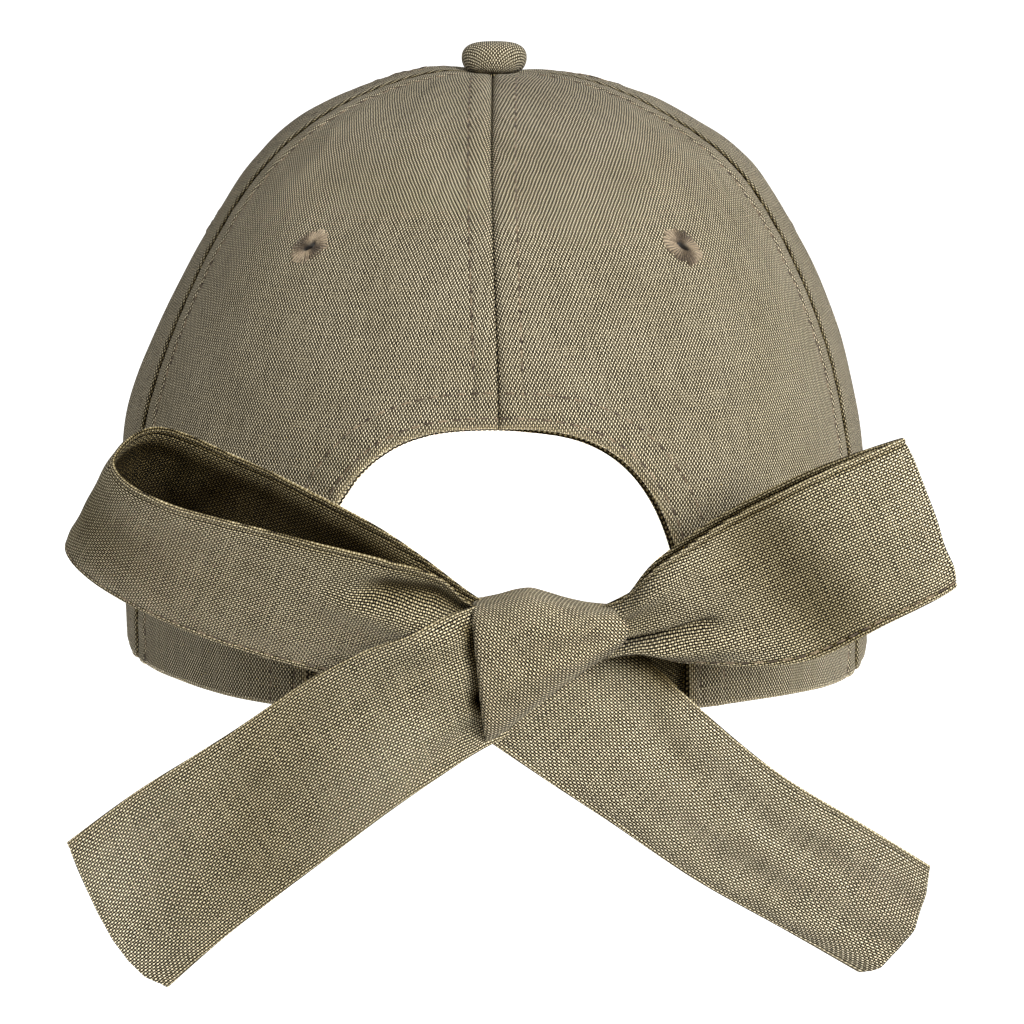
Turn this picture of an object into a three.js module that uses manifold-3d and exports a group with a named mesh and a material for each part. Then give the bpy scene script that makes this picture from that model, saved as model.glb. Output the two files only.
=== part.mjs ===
// Six-panel linen cap with an arch opening at the back that closes with a tied bow.
// Millimetres. +Z is up, +Y points to the peak and +X is the wearer's right.
// The origin is the centre of the head opening, in the plane of the rim.

import * as THREE from 'three';
import { mergeVertices } from 'three/addons/utils/BufferGeometryUtils.js';
import Module from 'manifold-3d';

const wasm = await Module();
wasm.setup();

// Crown: half width, reach to the back and front, and height, for a head of about 57 cm
const HALF_WIDTH = 80.5;
const BACK_REACH = 98;
const FRONT_REACH = 101;
const CROWN_HEIGHT = 121;

// Powers of the superellipses that give the crown its plan and its side profile
const PLAN_POWER = 2.2;
const FLANK_POWER = 2.2;
const DOME_POWER = 2.8;

// Thickness of the sewn cloth, and the clearance between neighbouring pieces
const CLOTH = 1.2;
const GAP = 0.3;
const APEX_HOLE = 3;

// Angles of the seams from centre back towards either side
const SIDE_BACK_SEAM = 65.5;
const SIDE_FRONT_SEAM = 121;
const CENTRE_FRONT_SEAM = 180;

// Arch opening: half width at the rim, height, and the power of its outline
const ARCH_HALF_WIDTH = 38;
const ARCH_HEIGHT = 56;
const ARCH_POWER = 2.8;
const FACING_WIDTH = 10;
const FACING_THICKNESS = 1;

// Embroidered eyelets
const EYELET_RADIUS = 3.7;
const EYELET_BORE = 1;
const EYELET_RIM = 0.5;
const EYELET_UP = 0.5;

// Covered button on the top
const BUTTON_RADIUS = 7;
const BUTTON_HEIGHT = 6.2;
const BUTTON_SHIFT = -0.8;
const SHANK_RADIUS = 1.1;
const SHANK_LENGTH = 4;

// Peak: reach beyond the crown, half width, thickness, how far its front tilts and its sides curve down,
// and the power of the superellipse of its outer edge
const PEAK_REACH = 68;
const PEAK_HALF_WIDTH = 77;
const PEAK_THICKNESS = 3;
const PEAK_SIDE_ANGLE = 62;
const PEAK_SIDE_REACH = 4;
const PEAK_TILT = 9;
const PEAK_DROOP = 8;
const PEAK_POWER = 2.5;

// Sewn ribbon of the straps and the bow
const RIBBON = 1.6;

// Grid steps
const PANEL_COLUMNS = 10;
const PANEL_ROWS = 13;
const RIBBON_ROWS = 4;
const ROUND_STEPS = 12;

// Where the worn cloth of the crown is pushed in (depth above zero) or stands out (below zero).
// Angle from centre back, share of the way up, how far the fold spreads each way, and depth in mm.
const CROWN_FOLDS = [
  { around: -95, up: 0.45, aroundSpread: 40, upSpread: 0.13, depth: 1.7 },
  { around: -95, up: 0.68, aroundSpread: 40, upSpread: 0.12, depth: -0.9 },
  { around: -100, up: 0.84, aroundSpread: 34, upSpread: 0.08, depth: -0.8 },
  { around: -95, up: 0.25, aroundSpread: 34, upSpread: 0.1, depth: -2.5 },
  { around: 95, up: 0.6, aroundSpread: 40, upSpread: 0.07, depth: -1.4 },
  { around: 95, up: 0.42, aroundSpread: 40, upSpread: 0.09, depth: 0.8 },
  { around: 95, up: 0.25, aroundSpread: 34, upSpread: 0.1, depth: 0.6 },
  { around: 95, up: 0.06, aroundSpread: 34, upSpread: 0.08, depth: 0.8 },
  { around: 0, up: 1, aroundSpread: 1000, upSpread: 0.07, depth: 1.5 },
];

// Ribbon sections: centre of the ribbon as distance out (+X), back (-Y) and up, its width, the roll of its
// width from upright towards +X, and the lean of its upper edge towards the back.
const SECTION = ['out', 'back', 'up', 'width', 'roll', 'lean'];

const STRAP_LEFT = [
  [-46, 78, 15.5, 28, 0, -3],
  [-36, 84.6, 15.5, 28, 0, -3],
  [-27, 90.5, 15.5, 27, 0, 0],
  [-18, 96, 15, 24, 0, 0],
  [-9, 98.7, 14, 20, 0, 0],
  [1, 99.5, 14, 18, 0, 0],
];

const STRAP_RIGHT = [
  [46, 78, 15.5, 28, 0, -3],
  [36, 84.6, 15.5, 28, 0, -3],
  [27, 90.5, 12.4, 24, 0, 0],
  [18, 96.3, 10.6, 21, 0, 0],
  [10, 98.7, 9.8, 18, 0, 0],
  [1.6, 99.5, 9.5, 17, 0, 0],
];

const LOOP_LEFT = [
  [0, 112, 14, 19, 0, 5],
  [-7, 114, 16, 22, 8, 15],
  [-18, 117, 21, 31, 19, 29],
  [-43, 118, 28, 31, 23, 30],
  [-67, 115, 36, 31, 26, 39],
  [-77, 108, 43, 31, 30, 42],
  [-70, 101, 48, 31, 29, 38],
  [-54, 101, 41, 31, 25, 33],
  [-28, 105, 28, 31, 18, 29],
  [-8, 109.5, 17, 23, 11, 15],
  [0, 109, 14, 20, 0, 5],
];

const LOOP_RIGHT = [
  [19, 112.5, 19, 10, -20, 5],
  [26, 114, 21, 12, -20, 10],
  [34, 117, 24, 22, -16, 17],
  [52, 117, 29, 31, -24, 1],
  [67.5, 115.5, 36.5, 31.6, -25, 0],
  [81.2, 111, 42.3, 30.4, -19, 0],
  [67.5, 106.5, 36.5, 31, -24, 0],
  [52, 106, 29, 31, -24, 0],
  [34, 108, 23.5, 22, -16, 8],
  [26, 110, 20.5, 12, -20, 0],
  [19, 110, 19, 10, -20, 0],
];

const TAIL_LEFT = [
  [1, 114.8, 13, 26, -5, 5],
  [-5, 118.3, 11.2, 27, -10, 8],
  [-12, 119, 8, 28, -19, 10],
  [-25, 118, 0.8, 29.6, -25, 0],
  [-43, 116, -12.4, 30.8, -30, 0],
  [-60, 113, -25, 33, -30, 0],
  [-72.8, 110, -35.9, 34.4, -33, 0],
];

const TAIL_RIGHT = [
  [9, 107, 9, 32, 50, 0],
  [18, 108, 2.7, 31, 46, 0],
  [30, 109, -6.6, 28.6, 38, 5],
  [46, 110, -18.6, 27.4, 34, 10],
  [63, 109, -28.9, 27.4, 32, 14],
  [77, 106, -38, 27.4, 28, 16],
];

// Knot sections across the bow: place, lower and upper edge, and depth, slanted like its left edge
const KNOT_BACK = 111.5;
const KNOT_SLANT = 0.1;
const KNOT_MIDDLE = 13.5;
const KNOT_POWER = 3;
const KNOT_SECTIONS = [
  { out: -3.8, low: 0.2, high: 24.4, depth: 16 },
  { out: -3, low: -1.2, high: 25.4, depth: 21 },
  { out: 1, low: 1.4, high: 26.2, depth: 22.4 },
  { out: 8, low: 6.6, high: 27.5, depth: 22 },
  { out: 16, low: 12.2, high: 25.4, depth: 19.6 },
  { out: 22, low: 16, high: 24.6, depth: 15.2 },
  { out: 25.6, low: 18.8, high: 22.8, depth: 8 },
];

// Finishes of the linen and of the eyelet thread
const FINISHES = {
  crown: { color: 0x8f836a, roughness: 0.92, metalness: 0 },
  bow: { color: 0x8a7e63, roughness: 0.92, metalness: 0 },
  thread: { color: 0xa39079, roughness: 0.85, metalness: 0 },
};

const radians = THREE.MathUtils.degToRad;

// Shapes shared by the pieces

function namedMesh(name, geometry, finish) {
  const material = new THREE.MeshStandardMaterial(FINISHES[finish]);
  const mesh = new THREE.Mesh(geometry, material);
  mesh.name = name;
  return mesh;
}

// A closed wall between two matching grids of points. Columns times rows point out of the outer face.
function wallGeometry(columns, rows, pointAt) {
  const positions = [];
  const indices = [];
  const sideCount = (columns + 1) * (rows + 1);
  for (const side of [0, 1]) {
    for (let row = 0; row <= rows; row += 1) {
      for (let column = 0; column <= columns; column += 1) {
        positions.push(...pointAt(column / columns, row / rows, side).toArray());
      }
    }
  }
  const at = (side, column, row) => side * sideCount + row * (columns + 1) + column;
  const quad = (a, b, c, d) => indices.push(a, b, c, a, c, d);
  for (let row = 0; row < rows; row += 1) {
    for (let column = 0; column < columns; column += 1) {
      quad(at(0, column, row), at(0, column + 1, row), at(0, column + 1, row + 1), at(0, column, row + 1));
      quad(at(1, column + 1, row), at(1, column, row), at(1, column, row + 1), at(1, column + 1, row + 1));
    }
    quad(at(1, 0, row), at(0, 0, row), at(0, 0, row + 1), at(1, 0, row + 1));
    quad(at(0, columns, row), at(1, columns, row), at(1, columns, row + 1), at(0, columns, row + 1));
  }
  for (let column = 0; column < columns; column += 1) {
    quad(at(1, column, 0), at(1, column + 1, 0), at(0, column + 1, 0), at(0, column, 0));
    quad(at(0, column, rows), at(0, column + 1, rows), at(1, column + 1, rows), at(1, column, rows));
  }
  const geometry = new THREE.BufferGeometry();
  geometry.setAttribute('position', new THREE.Float32BufferAttribute(positions, 3));
  geometry.setIndex(indices);
  return geometry;
}

function toManifold(geometry) {
  const bare = geometry.clone();
  bare.deleteAttribute('normal');
  bare.deleteAttribute('uv');
  const merged = mergeVertices(bare, 1e-4);
  const vertProperties = new Float32Array(merged.attributes.position.array);
  const triVerts = new Uint32Array(merged.index.array);
  return new wasm.Manifold(new wasm.Mesh({ numProp: 3, vertProperties, triVerts }));
}

function toGeometry(solid) {
  const mesh = solid.getMesh();
  const geometry = new THREE.BufferGeometry();
  geometry.setAttribute('position', new THREE.Float32BufferAttribute(mesh.vertProperties, 3));
  geometry.setIndex(Array.from(mesh.triVerts));
  return geometry;
}

// A power that keeps the sign of its base
function signedPower(value, power) {
  return Math.sign(value) * Math.abs(value) ** power;
}

// Points of an upright superellipse arch, from its right foot over the top to its left foot
function archOutline(halfWidth, height, steps) {
  const points = [];
  for (let step = 0; step <= steps; step += 1) {
    const angle = (Math.PI * step) / steps;
    const across = halfWidth * signedPower(Math.cos(angle), 2 / ARCH_POWER);
    points.push(new THREE.Vector2(across, height * Math.sin(angle) ** (2 / ARCH_POWER)));
  }
  return points;
}

// The arch carried through the back of the crown, open below the rim
function archPrism(halfWidth, height) {
  const below = 5;
  const near = BACK_REACH / 2;
  const outline = archOutline(halfWidth, height, 28);
  outline.push(new THREE.Vector2(-halfWidth, -below), new THREE.Vector2(halfWidth, -below));
  const options = { depth: BACK_REACH, bevelEnabled: false };
  const geometry = new THREE.ExtrudeGeometry(new THREE.Shape(outline), options);
  geometry.rotateX(Math.PI / 2);
  geometry.translate(0, -near, 0);
  return toManifold(geometry);
}

// Crown surface

// Plan and profile are superellipses. Both ends of `up` are eased so that grid rows are evenly spaced.
function plainCrown(around, up) {
  const angle = radians(around);
  const sine = Math.sin(angle);
  const cosine = Math.cos(angle);
  const powers = Math.abs(sine) ** PLAN_POWER + Math.abs(cosine) ** PLAN_POWER;
  const plan = powers ** (-1 / PLAN_POWER);
  const rise = up ** (DOME_POWER / 2);
  const rest = (1 - up) ** (FLANK_POWER / 2);
  const climb = ((Math.PI / 2) * rise) / (rise + rest);
  const reach = plan * Math.cos(climb) ** (2 / FLANK_POWER);
  const depth = cosine > 0 ? BACK_REACH : FRONT_REACH;
  const height = CROWN_HEIGHT * Math.sin(climb) ** (2 / DOME_POWER);
  return new THREE.Vector3(HALF_WIDTH * reach * sine, -depth * reach * cosine, height);
}

function crownNormal(around, up) {
  const step = 0.002;
  const level = THREE.MathUtils.clamp(up, step, 1 - 4 * step);
  const across = plainCrown(around + 1, level).sub(plainCrown(around - 1, level));
  const upward = plainCrown(around, level + step).sub(plainCrown(around, level - step));
  return across.cross(upward).normalize();
}

function foldDepth(around, up) {
  let depth = 0;
  for (const fold of CROWN_FOLDS) {
    const turn = THREE.MathUtils.euclideanModulo(around - fold.around + 180, 360) - 180;
    const spread = (turn / fold.aroundSpread) ** 2 + ((up - fold.up) / fold.upSpread) ** 2;
    depth += fold.depth * Math.exp(-spread);
  }
  return depth;
}

// A point at a given depth inside the crown's outer face
function crownPoint(around, up, inset) {
  const push = foldDepth(around, up) + inset;
  return plainCrown(around, up).addScaledVector(crownNormal(around, up), -push);
}

// Panels, each between two seams, from the rim to a small hole at the top

function panelGeometry(from, to) {
  return wallGeometry(PANEL_COLUMNS, PANEL_ROWS, (across, height, side) => {
    const up = height * topOfPanels();
    const middle = plainCrown((from + to) / 2, up);
    const radius = Math.hypot(middle.x, middle.y);
    const trim = THREE.MathUtils.radToDeg(GAP / 2 / radius);
    const around = THREE.MathUtils.lerp(from + trim, to - trim, across);
    return crownPoint(around, up, side * CLOTH);
  });
}

// The share of the way up at which the panels stop short of the button's shank. Near the top, the crown's
// reach falls by about one and a half times what `up` gains.
function topOfPanels() {
  return 1 - APEX_HOLE / BACK_REACH / 1.5;
}

// Turns +Z to the crown's outward direction at a point and moves it there
function placeOnCrown(geometry, around, up) {
  const turn = new THREE.Quaternion().setFromUnitVectors(new THREE.Vector3(0, 0, 1), crownNormal(around, up));
  geometry.applyQuaternion(turn);
  geometry.translate(...crownPoint(around, up, 0).toArray());
  return geometry;
}

function eyeletHole(around) {
  const geometry = new THREE.CylinderGeometry(EYELET_RADIUS + GAP, EYELET_RADIUS + GAP, 8 * CLOTH, ROUND_STEPS);
  geometry.rotateX(Math.PI / 2);
  return toManifold(placeOnCrown(geometry, around, EYELET_UP));
}

// A flat ring of thread, a little proud of the cloth on both faces
function eyeletGeometry(around) {
  const shoulder = EYELET_RADIUS - 0.5;
  const profile = [
    new THREE.Vector2(EYELET_BORE, -CLOTH),
    new THREE.Vector2(shoulder, -CLOTH - EYELET_RIM),
    new THREE.Vector2(EYELET_RADIUS, -CLOTH / 2),
    new THREE.Vector2(shoulder, EYELET_RIM),
    new THREE.Vector2(EYELET_BORE, 0),
    new THREE.Vector2(EYELET_BORE, -CLOTH),
  ];
  const geometry = new THREE.LatheGeometry(profile, ROUND_STEPS);
  geometry.rotateX(Math.PI / 2);
  return placeOnCrown(geometry, around, EYELET_UP);
}

function addCrown(cap) {
  const sides = [
    { name: 'back', from: 0, to: SIDE_BACK_SEAM, eyelet: 35 },
    { name: 'side', from: SIDE_BACK_SEAM, to: SIDE_FRONT_SEAM, eyelet: 98 },
    { name: 'front', from: SIDE_FRONT_SEAM, to: CENTRE_FRONT_SEAM, eyelet: 150 },
  ];
  const arch = archPrism(ARCH_HALF_WIDTH, ARCH_HEIGHT);
  for (const side of sides) {
    for (const [hand, sign] of [['left', -1], ['right', 1]]) {
      const from = sign < 0 ? -side.to : side.from;
      const to = sign < 0 ? -side.from : side.to;
      let panel = toManifold(panelGeometry(from, to)).subtract(eyeletHole(sign * side.eyelet));
      if (side.name === 'back') {
        panel = panel.subtract(arch);
      }
      cap.add(namedMesh(`panel_${side.name}_${hand}`, toGeometry(panel), 'crown'));
      const ring = eyeletGeometry(sign * side.eyelet);
      cap.add(namedMesh(`eyelet_${side.name}_${hand}`, ring, 'thread'));
    }
  }
}

// Tape behind the edge of the arch

function addArchFacing(cap) {
  // The grid falls on that of the back panels, so the clearance to them is even
  const columns = 7;
  const rows = 6;
  const half = (SIDE_BACK_SEAM * columns) / PANEL_COLUMNS;
  const top = (topOfPanels() * rows) / PANEL_ROWS;
  const shell = wallGeometry(2 * columns, rows, (across, height, side) =>
    crownPoint(half * (2 * across - 1), top * height, CLOTH + GAP + side * FACING_THICKNESS));
  const ring = archPrism(ARCH_HALF_WIDTH + FACING_WIDTH, ARCH_HEIGHT + FACING_WIDTH)
    .subtract(archPrism(ARCH_HALF_WIDTH, ARCH_HEIGHT));
  cap.add(namedMesh('arch_facing', toGeometry(toManifold(shell).intersect(ring)), 'crown'));
}

// Covered button, a dome on a shank that goes down between the panels

function addButton(cap) {
  const seat = crownPoint(0, 1 - BUTTON_RADIUS / BACK_REACH / 1.5, 0).z + 2 * GAP;
  const profile = [
    new THREE.Vector2(0, -SHANK_LENGTH),
    new THREE.Vector2(SHANK_RADIUS, -SHANK_LENGTH),
    new THREE.Vector2(SHANK_RADIUS, 0),
    new THREE.Vector2(BUTTON_RADIUS * 0.8, 0),
    new THREE.Vector2(BUTTON_RADIUS, BUTTON_HEIGHT * 0.25),
    new THREE.Vector2(BUTTON_RADIUS, BUTTON_HEIGHT * 0.5),
    new THREE.Vector2(BUTTON_RADIUS * 0.86, BUTTON_HEIGHT * 0.8),
    new THREE.Vector2(BUTTON_RADIUS * 0.55, BUTTON_HEIGHT * 0.96),
    new THREE.Vector2(0, BUTTON_HEIGHT),
  ];
  const geometry = new THREE.LatheGeometry(profile, 18);
  geometry.rotateX(Math.PI / 2);
  geometry.translate(BUTTON_SHIFT, 0, seat);
  cap.add(namedMesh('top_button', geometry, 'crown'));
}

// Peak: its inner edge follows the rim, its outer edge is a superellipse that dips most between its centre
// and its corners

function peakPoint(across, forward, side) {
  const turn = 2 * across - 1;
  const rim = plainCrown(180 - turn * PEAK_SIDE_ANGLE, 0);
  const outward = new THREE.Vector3(rim.x, rim.y, 0).normalize();
  const inner = rim.clone().addScaledVector(outward, 1.5 * GAP);
  const corner = plainCrown(180 - PEAK_SIDE_ANGLE, 0).y + PEAK_SIDE_REACH;
  const swing = (turn * Math.PI) / 2;
  const forwardShare = Math.max(Math.cos(swing), 0) ** (2 / PEAK_POWER);
  const outer = new THREE.Vector3(
    PEAK_HALF_WIDTH * signedPower(Math.sin(swing), 2 / PEAK_POWER),
    corner + (FRONT_REACH + PEAK_REACH - corner) * forwardShare,
    -PEAK_TILT * forwardShare - PEAK_DROOP * Math.sin(2 * swing) ** 2,
  );
  const point = inner.lerp(outer, forward);
  point.z += (1 - side) * PEAK_THICKNESS;
  return point;
}

function addPeak(cap) {
  cap.add(namedMesh('peak', wallGeometry(20, 6, peakPoint), 'crown'));
}

// Ribbons: a short table of sections, joined smoothly

// Catmull-Rom value of one column of a section table, at a share of the table's length
function tableValue(table, column, share) {
  const last = table.length - 1;
  const place = share * last;
  const row = Math.min(Math.floor(place), last - 1);
  const value = (index) => table[THREE.MathUtils.clamp(index, 0, last)][column];
  const t = place - row;
  const [a, b, c, d] = [value(row - 1), value(row), value(row + 1), value(row + 2)];
  const curve = 2 * a - 5 * b + 4 * c - d;
  const twist = 3 * (b - c) + d - a;
  return b + 0.5 * t * (c - a + t * (curve + t * twist));
}

function sectionAt(table, share) {
  const section = {};
  SECTION.forEach((name, column) => {
    section[name] = tableValue(table, column, share);
  });
  const lean = radians(section.lean);
  const roll = radians(section.roll);
  section.centre = new THREE.Vector3(section.out, -section.back, section.up);
  section.across = new THREE.Vector3(
    Math.sin(roll) * Math.cos(lean),
    -Math.sin(lean),
    Math.cos(roll) * Math.cos(lean),
  );
  return section;
}

function ribbonGeometry(table, columns) {
  const step = 0.004;
  return wallGeometry(columns, RIBBON_ROWS, (share, height, side) => {
    const section = sectionAt(table, share);
    const ahead = sectionAt(table, Math.min(share + step, 1)).centre;
    const behind = sectionAt(table, Math.max(share - step, 0)).centre;
    const facing = ahead.sub(behind).cross(section.across).normalize();
    return section.centre
      .addScaledVector(section.across, (height - 0.5) * section.width)
      .addScaledVector(facing, (0.5 - side) * RIBBON);
  });
}

// Knot: rounded sections across the bow, grown by a clearance where it cuts its neighbours

function knotGeometry(grow) {
  const steps = 14;
  const positions = [];
  const indices = [];
  const last = KNOT_SECTIONS.length - 1;
  KNOT_SECTIONS.forEach((section, index) => {
    const endShift = index === 0 ? -grow : 0;
    const out = section.out + (index === last ? grow : endShift);
    for (let step = 0; step < steps; step += 1) {
      const angle = (2 * Math.PI * step) / steps;
      const halfHeight = (section.high - section.low) / 2 + grow;
      const back = KNOT_BACK + (section.depth / 2 + grow) * signedPower(Math.cos(angle), 2 / KNOT_POWER);
      const middle = (section.high + section.low) / 2;
      const up = middle + halfHeight * signedPower(Math.sin(angle), 2 / KNOT_POWER);
      positions.push(out - KNOT_SLANT * (up - KNOT_MIDDLE), -back, up);
    }
  });
  for (let index = 0; index < last; index += 1) {
    for (let step = 0; step < steps; step += 1) {
      const next = (step + 1) % steps;
      const [a, b] = [index * steps + step, index * steps + next];
      const [c, d] = [a + steps, b + steps];
      indices.push(a, c, d, a, d, b);
    }
  }
  for (let step = 1; step < steps - 1; step += 1) {
    const far = last * steps;
    indices.push(0, step, step + 1, far, far + step + 1, far + step);
  }
  const geometry = new THREE.BufferGeometry();
  geometry.setAttribute('position', new THREE.Float32BufferAttribute(positions, 3));
  geometry.setIndex(indices);
  return geometry;
}

function addBow(cap) {
  const ribbons = [
    { name: 'tie_strap_left', table: STRAP_LEFT, columns: 12 },
    { name: 'tie_strap_right', table: STRAP_RIGHT, columns: 12 },
    { name: 'bow_loop_left', table: LOOP_LEFT, columns: 34 },
    { name: 'bow_loop_right', table: LOOP_RIGHT, columns: 34 },
    { name: 'bow_tail_left', table: TAIL_LEFT, columns: 14 },
    { name: 'bow_tail_right', table: TAIL_RIGHT, columns: 14 },
  ];
  const room = toManifold(knotGeometry(1.5 * GAP));
  for (const ribbon of ribbons) {
    const whole = toManifold(ribbonGeometry(ribbon.table, ribbon.columns));
    cap.add(namedMesh(ribbon.name, toGeometry(whole.subtract(room)), 'bow'));
  }
  cap.add(namedMesh('bow_knot', knotGeometry(0), 'bow'));
}

const cap = new THREE.Group();
addCrown(cap);
addArchFacing(cap);
addButton(cap);
addPeak(cap);
addBow(cap);

export default cap;
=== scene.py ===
# Linen baseball cap with an arch opening at the back and a tied bow.
# The frame is that of the cap's solids: metres, +Z up, +Y to the peak and +X to the wearer's right.
# Lengths in the tables and functions below are in mm, and become metres when a mesh is made. Angles in the
# tables are in degrees: round the crown they go from centre back to the right.

import math

import bmesh
import bpy
import numpy as np
from bpy.props import FloatProperty, FloatVectorProperty, IntProperty, PointerProperty
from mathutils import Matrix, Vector


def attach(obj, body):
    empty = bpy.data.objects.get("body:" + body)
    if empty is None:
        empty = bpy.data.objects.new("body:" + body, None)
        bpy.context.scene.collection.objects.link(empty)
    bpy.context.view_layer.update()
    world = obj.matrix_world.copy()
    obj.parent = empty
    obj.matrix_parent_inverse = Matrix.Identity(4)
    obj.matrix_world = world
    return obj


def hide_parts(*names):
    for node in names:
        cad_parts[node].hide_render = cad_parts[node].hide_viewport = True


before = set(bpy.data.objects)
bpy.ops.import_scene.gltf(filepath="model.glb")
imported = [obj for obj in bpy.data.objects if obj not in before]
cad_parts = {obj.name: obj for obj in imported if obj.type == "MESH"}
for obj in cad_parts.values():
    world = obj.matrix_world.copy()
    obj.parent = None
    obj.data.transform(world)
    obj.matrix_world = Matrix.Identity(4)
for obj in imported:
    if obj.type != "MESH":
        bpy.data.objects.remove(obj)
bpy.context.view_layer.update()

bl_info = {
    "name": "Linen Cap",
    "version": (1, 0, 0),
    "blender": (4, 5, 0),
    "location": "View3D > Sidebar > Linen Cap",
    "description": "Makes a six-panel linen cap with a tied bow, its stitching and its studio",
    "category": "Add Mesh",
}

MM = 0.001
# Angle in degrees past which an edge is drawn sharp
SHARP_ANGLE = 50

# Crown: half width, reach to back and front, height, and the powers of its plan, flanks and dome
HALF_WIDTH = 80.5
BACK_REACH = 98
FRONT_REACH = 101
CROWN_HEIGHT = 121
PLAN_POWER = 2.2
FLANK_POWER = 2.2
DOME_POWER = 2.8
CLOTH = 1.2
APEX_HOLE = 3
APEX_SLOPE = 1.5
TOP_OF_PANELS = 1 - APEX_HOLE / BACK_REACH / APEX_SLOPE

# Seams as angles from centre back, and the distance of the topstitching from them
SIDE_BACK_SEAM = 65.5
SIDE_FRONT_SEAM = 121
SEAMS = (0, SIDE_BACK_SEAM, -SIDE_BACK_SEAM, SIDE_FRONT_SEAM, -SIDE_FRONT_SEAM, 180)
PANELS = (
    ("back", 0, SIDE_BACK_SEAM),
    ("side", SIDE_BACK_SEAM, SIDE_FRONT_SEAM),
    ("front", SIDE_FRONT_SEAM, 180),
)
TOPSTITCH = 5.75
GROOVE_DEPTH = 0.85
WELT_HEIGHT = 0.3
PUCKER_PITCH = 6.3

# Arch opening, its tape and its two rows of stitching
ARCH_HALF_WIDTH = 38
ARCH_HEIGHT = 56
ARCH_POWER = 2.8
FACING_WIDTH = 10
FACING_THICKNESS = 1
ARCH_ROWS = (1.8, 6.5)
HEM_HEIGHT = 0.35

# Soft folds of the worn crown: angle and share of the way up, their spreads, and depth inwards. The last is
# in the cloth alone, and the others are in the solids too
CROWN_FOLDS = (
    (-95, 0.45, 40, 0.13, 1.7),
    (-95, 0.68, 40, 0.12, -0.9),
    (-100, 0.84, 34, 0.08, -0.8),
    (-95, 0.25, 34, 0.10, -2.5),
    (95, 0.60, 40, 0.07, -1.4),
    (95, 0.42, 40, 0.09, 0.8),
    (95, 0.25, 34, 0.10, 0.6),
    (95, 0.06, 34, 0.08, 0.8),
    (0, 1.00, 1000, 0.07, 1.5),
    (-100, 0.91, 50, 0.05, -0.7),
)
# Rise of the rim: angle, spread and height in mm
RIM_WAVES = ((60, 14, -2.0), (88, 15, -1.0), (-75, 30, 0.8))
# Slackness of the crown: height, width and length in mm, seed, and distances from a seam where it comes in
CROWN_SLACK = ((0.35, 38, 46, 11, 4, 16), (0.12, 13, 17, 12, 6, 14))
# Where the inside of the front is faced with pale cloth: angles and heights over which it begins and ends
FACED_ANGLES = (138, 148)
FACED_HEIGHTS = (36, 40)

# Embroidered eyelets: share of the way up, radius of the hole, half length and half width of slit and rim,
# and for each one its angle and the turn of its slit from upright
EYELET_UP = 0.5
EYELET_HOLE = 2.3
EYELET_SLIT = (1.25, 0.5)
EYELET_RIM = (4.5, 3.8)
STEPS_PER_THREAD = 8
EYELETS = {
    "back_left": (-35, 50),
    "back_right": (35, -47),
    "side_left": (-98, 20),
    "side_right": (98, -30),
    "front_left": (-150, 35),
    "front_right": (150, -25),
}
# Section of an eyelet: share of the way from slit to rim, rise, and depth of the groove between threads
EYELET_FRONT = (
    (0, -0.7, 0.1), (0.02, -0.2, 0.22), (0.1, 0.16, 0.3), (0.25, 0.3, 0.32), (0.45, 0.34, 0.3),
    (0.65, 0.33, 0.3), (0.82, 0.3, 0.3), (0.93, 0.2, 0.26), (0.99, 0.05, 0.14), (1.0, -0.3, 0.0),
)
# The same inside the crown: share, and depth behind the cloth
EYELET_BACK = ((0.98, 0.1), (0.7, 0.4), (0.3, 0.42), (0.08, 0.3), (0.0, 0.0))

# Covered button
BUTTON_RADIUS = 7
BUTTON_HEIGHT = 6.2
BUTTON_SHIFT = -0.8
BUTTON_GAP = 0.6
# Share of the height at its widest, and the powers of the profile below and above
BUTTON_MIDDLE = 0.44
BUTTON_POWERS = (0.4, 0.62)

# Peak
PEAK_REACH = 68
PEAK_HALF_WIDTH = 77
PEAK_THICKNESS = 3
PEAK_SIDE_ANGLE = 62
PEAK_SIDE_REACH = 4
PEAK_TILT = 9
PEAK_DROOP = 8
PEAK_POWER = 2.5
PEAK_ROWS = (3, 10, 17, 24, 31, 38, 45, 52)

# Ribbon sections, evenly spaced along the ribbon: centre as distance out (+X), back (-Y) and up, its width,
# the roll of its width from upright towards +X, and the lean of its upper edge towards the back
RIBBON = 1.6
RIBBON_FLAT = 31
HEM = 1.2
EDGE_ROUNDING = 0.6
# Pleats where a ribbon is drawn in, and its slackness: height, length and width in mm
PLEAT_HEIGHT = 2.2
PLEAT_PITCH = 10.5
RIBBON_SLACK = ((0.28, 26, 24), (0.1, 9, 10))
# Darkest painted shade and palest painted light of a ribbon, and darkest painted shade in a seam
RIBBON_SHADES = (-6.6, 1.6)
DARKEST_SEAM_SHADE = -6.9

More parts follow.
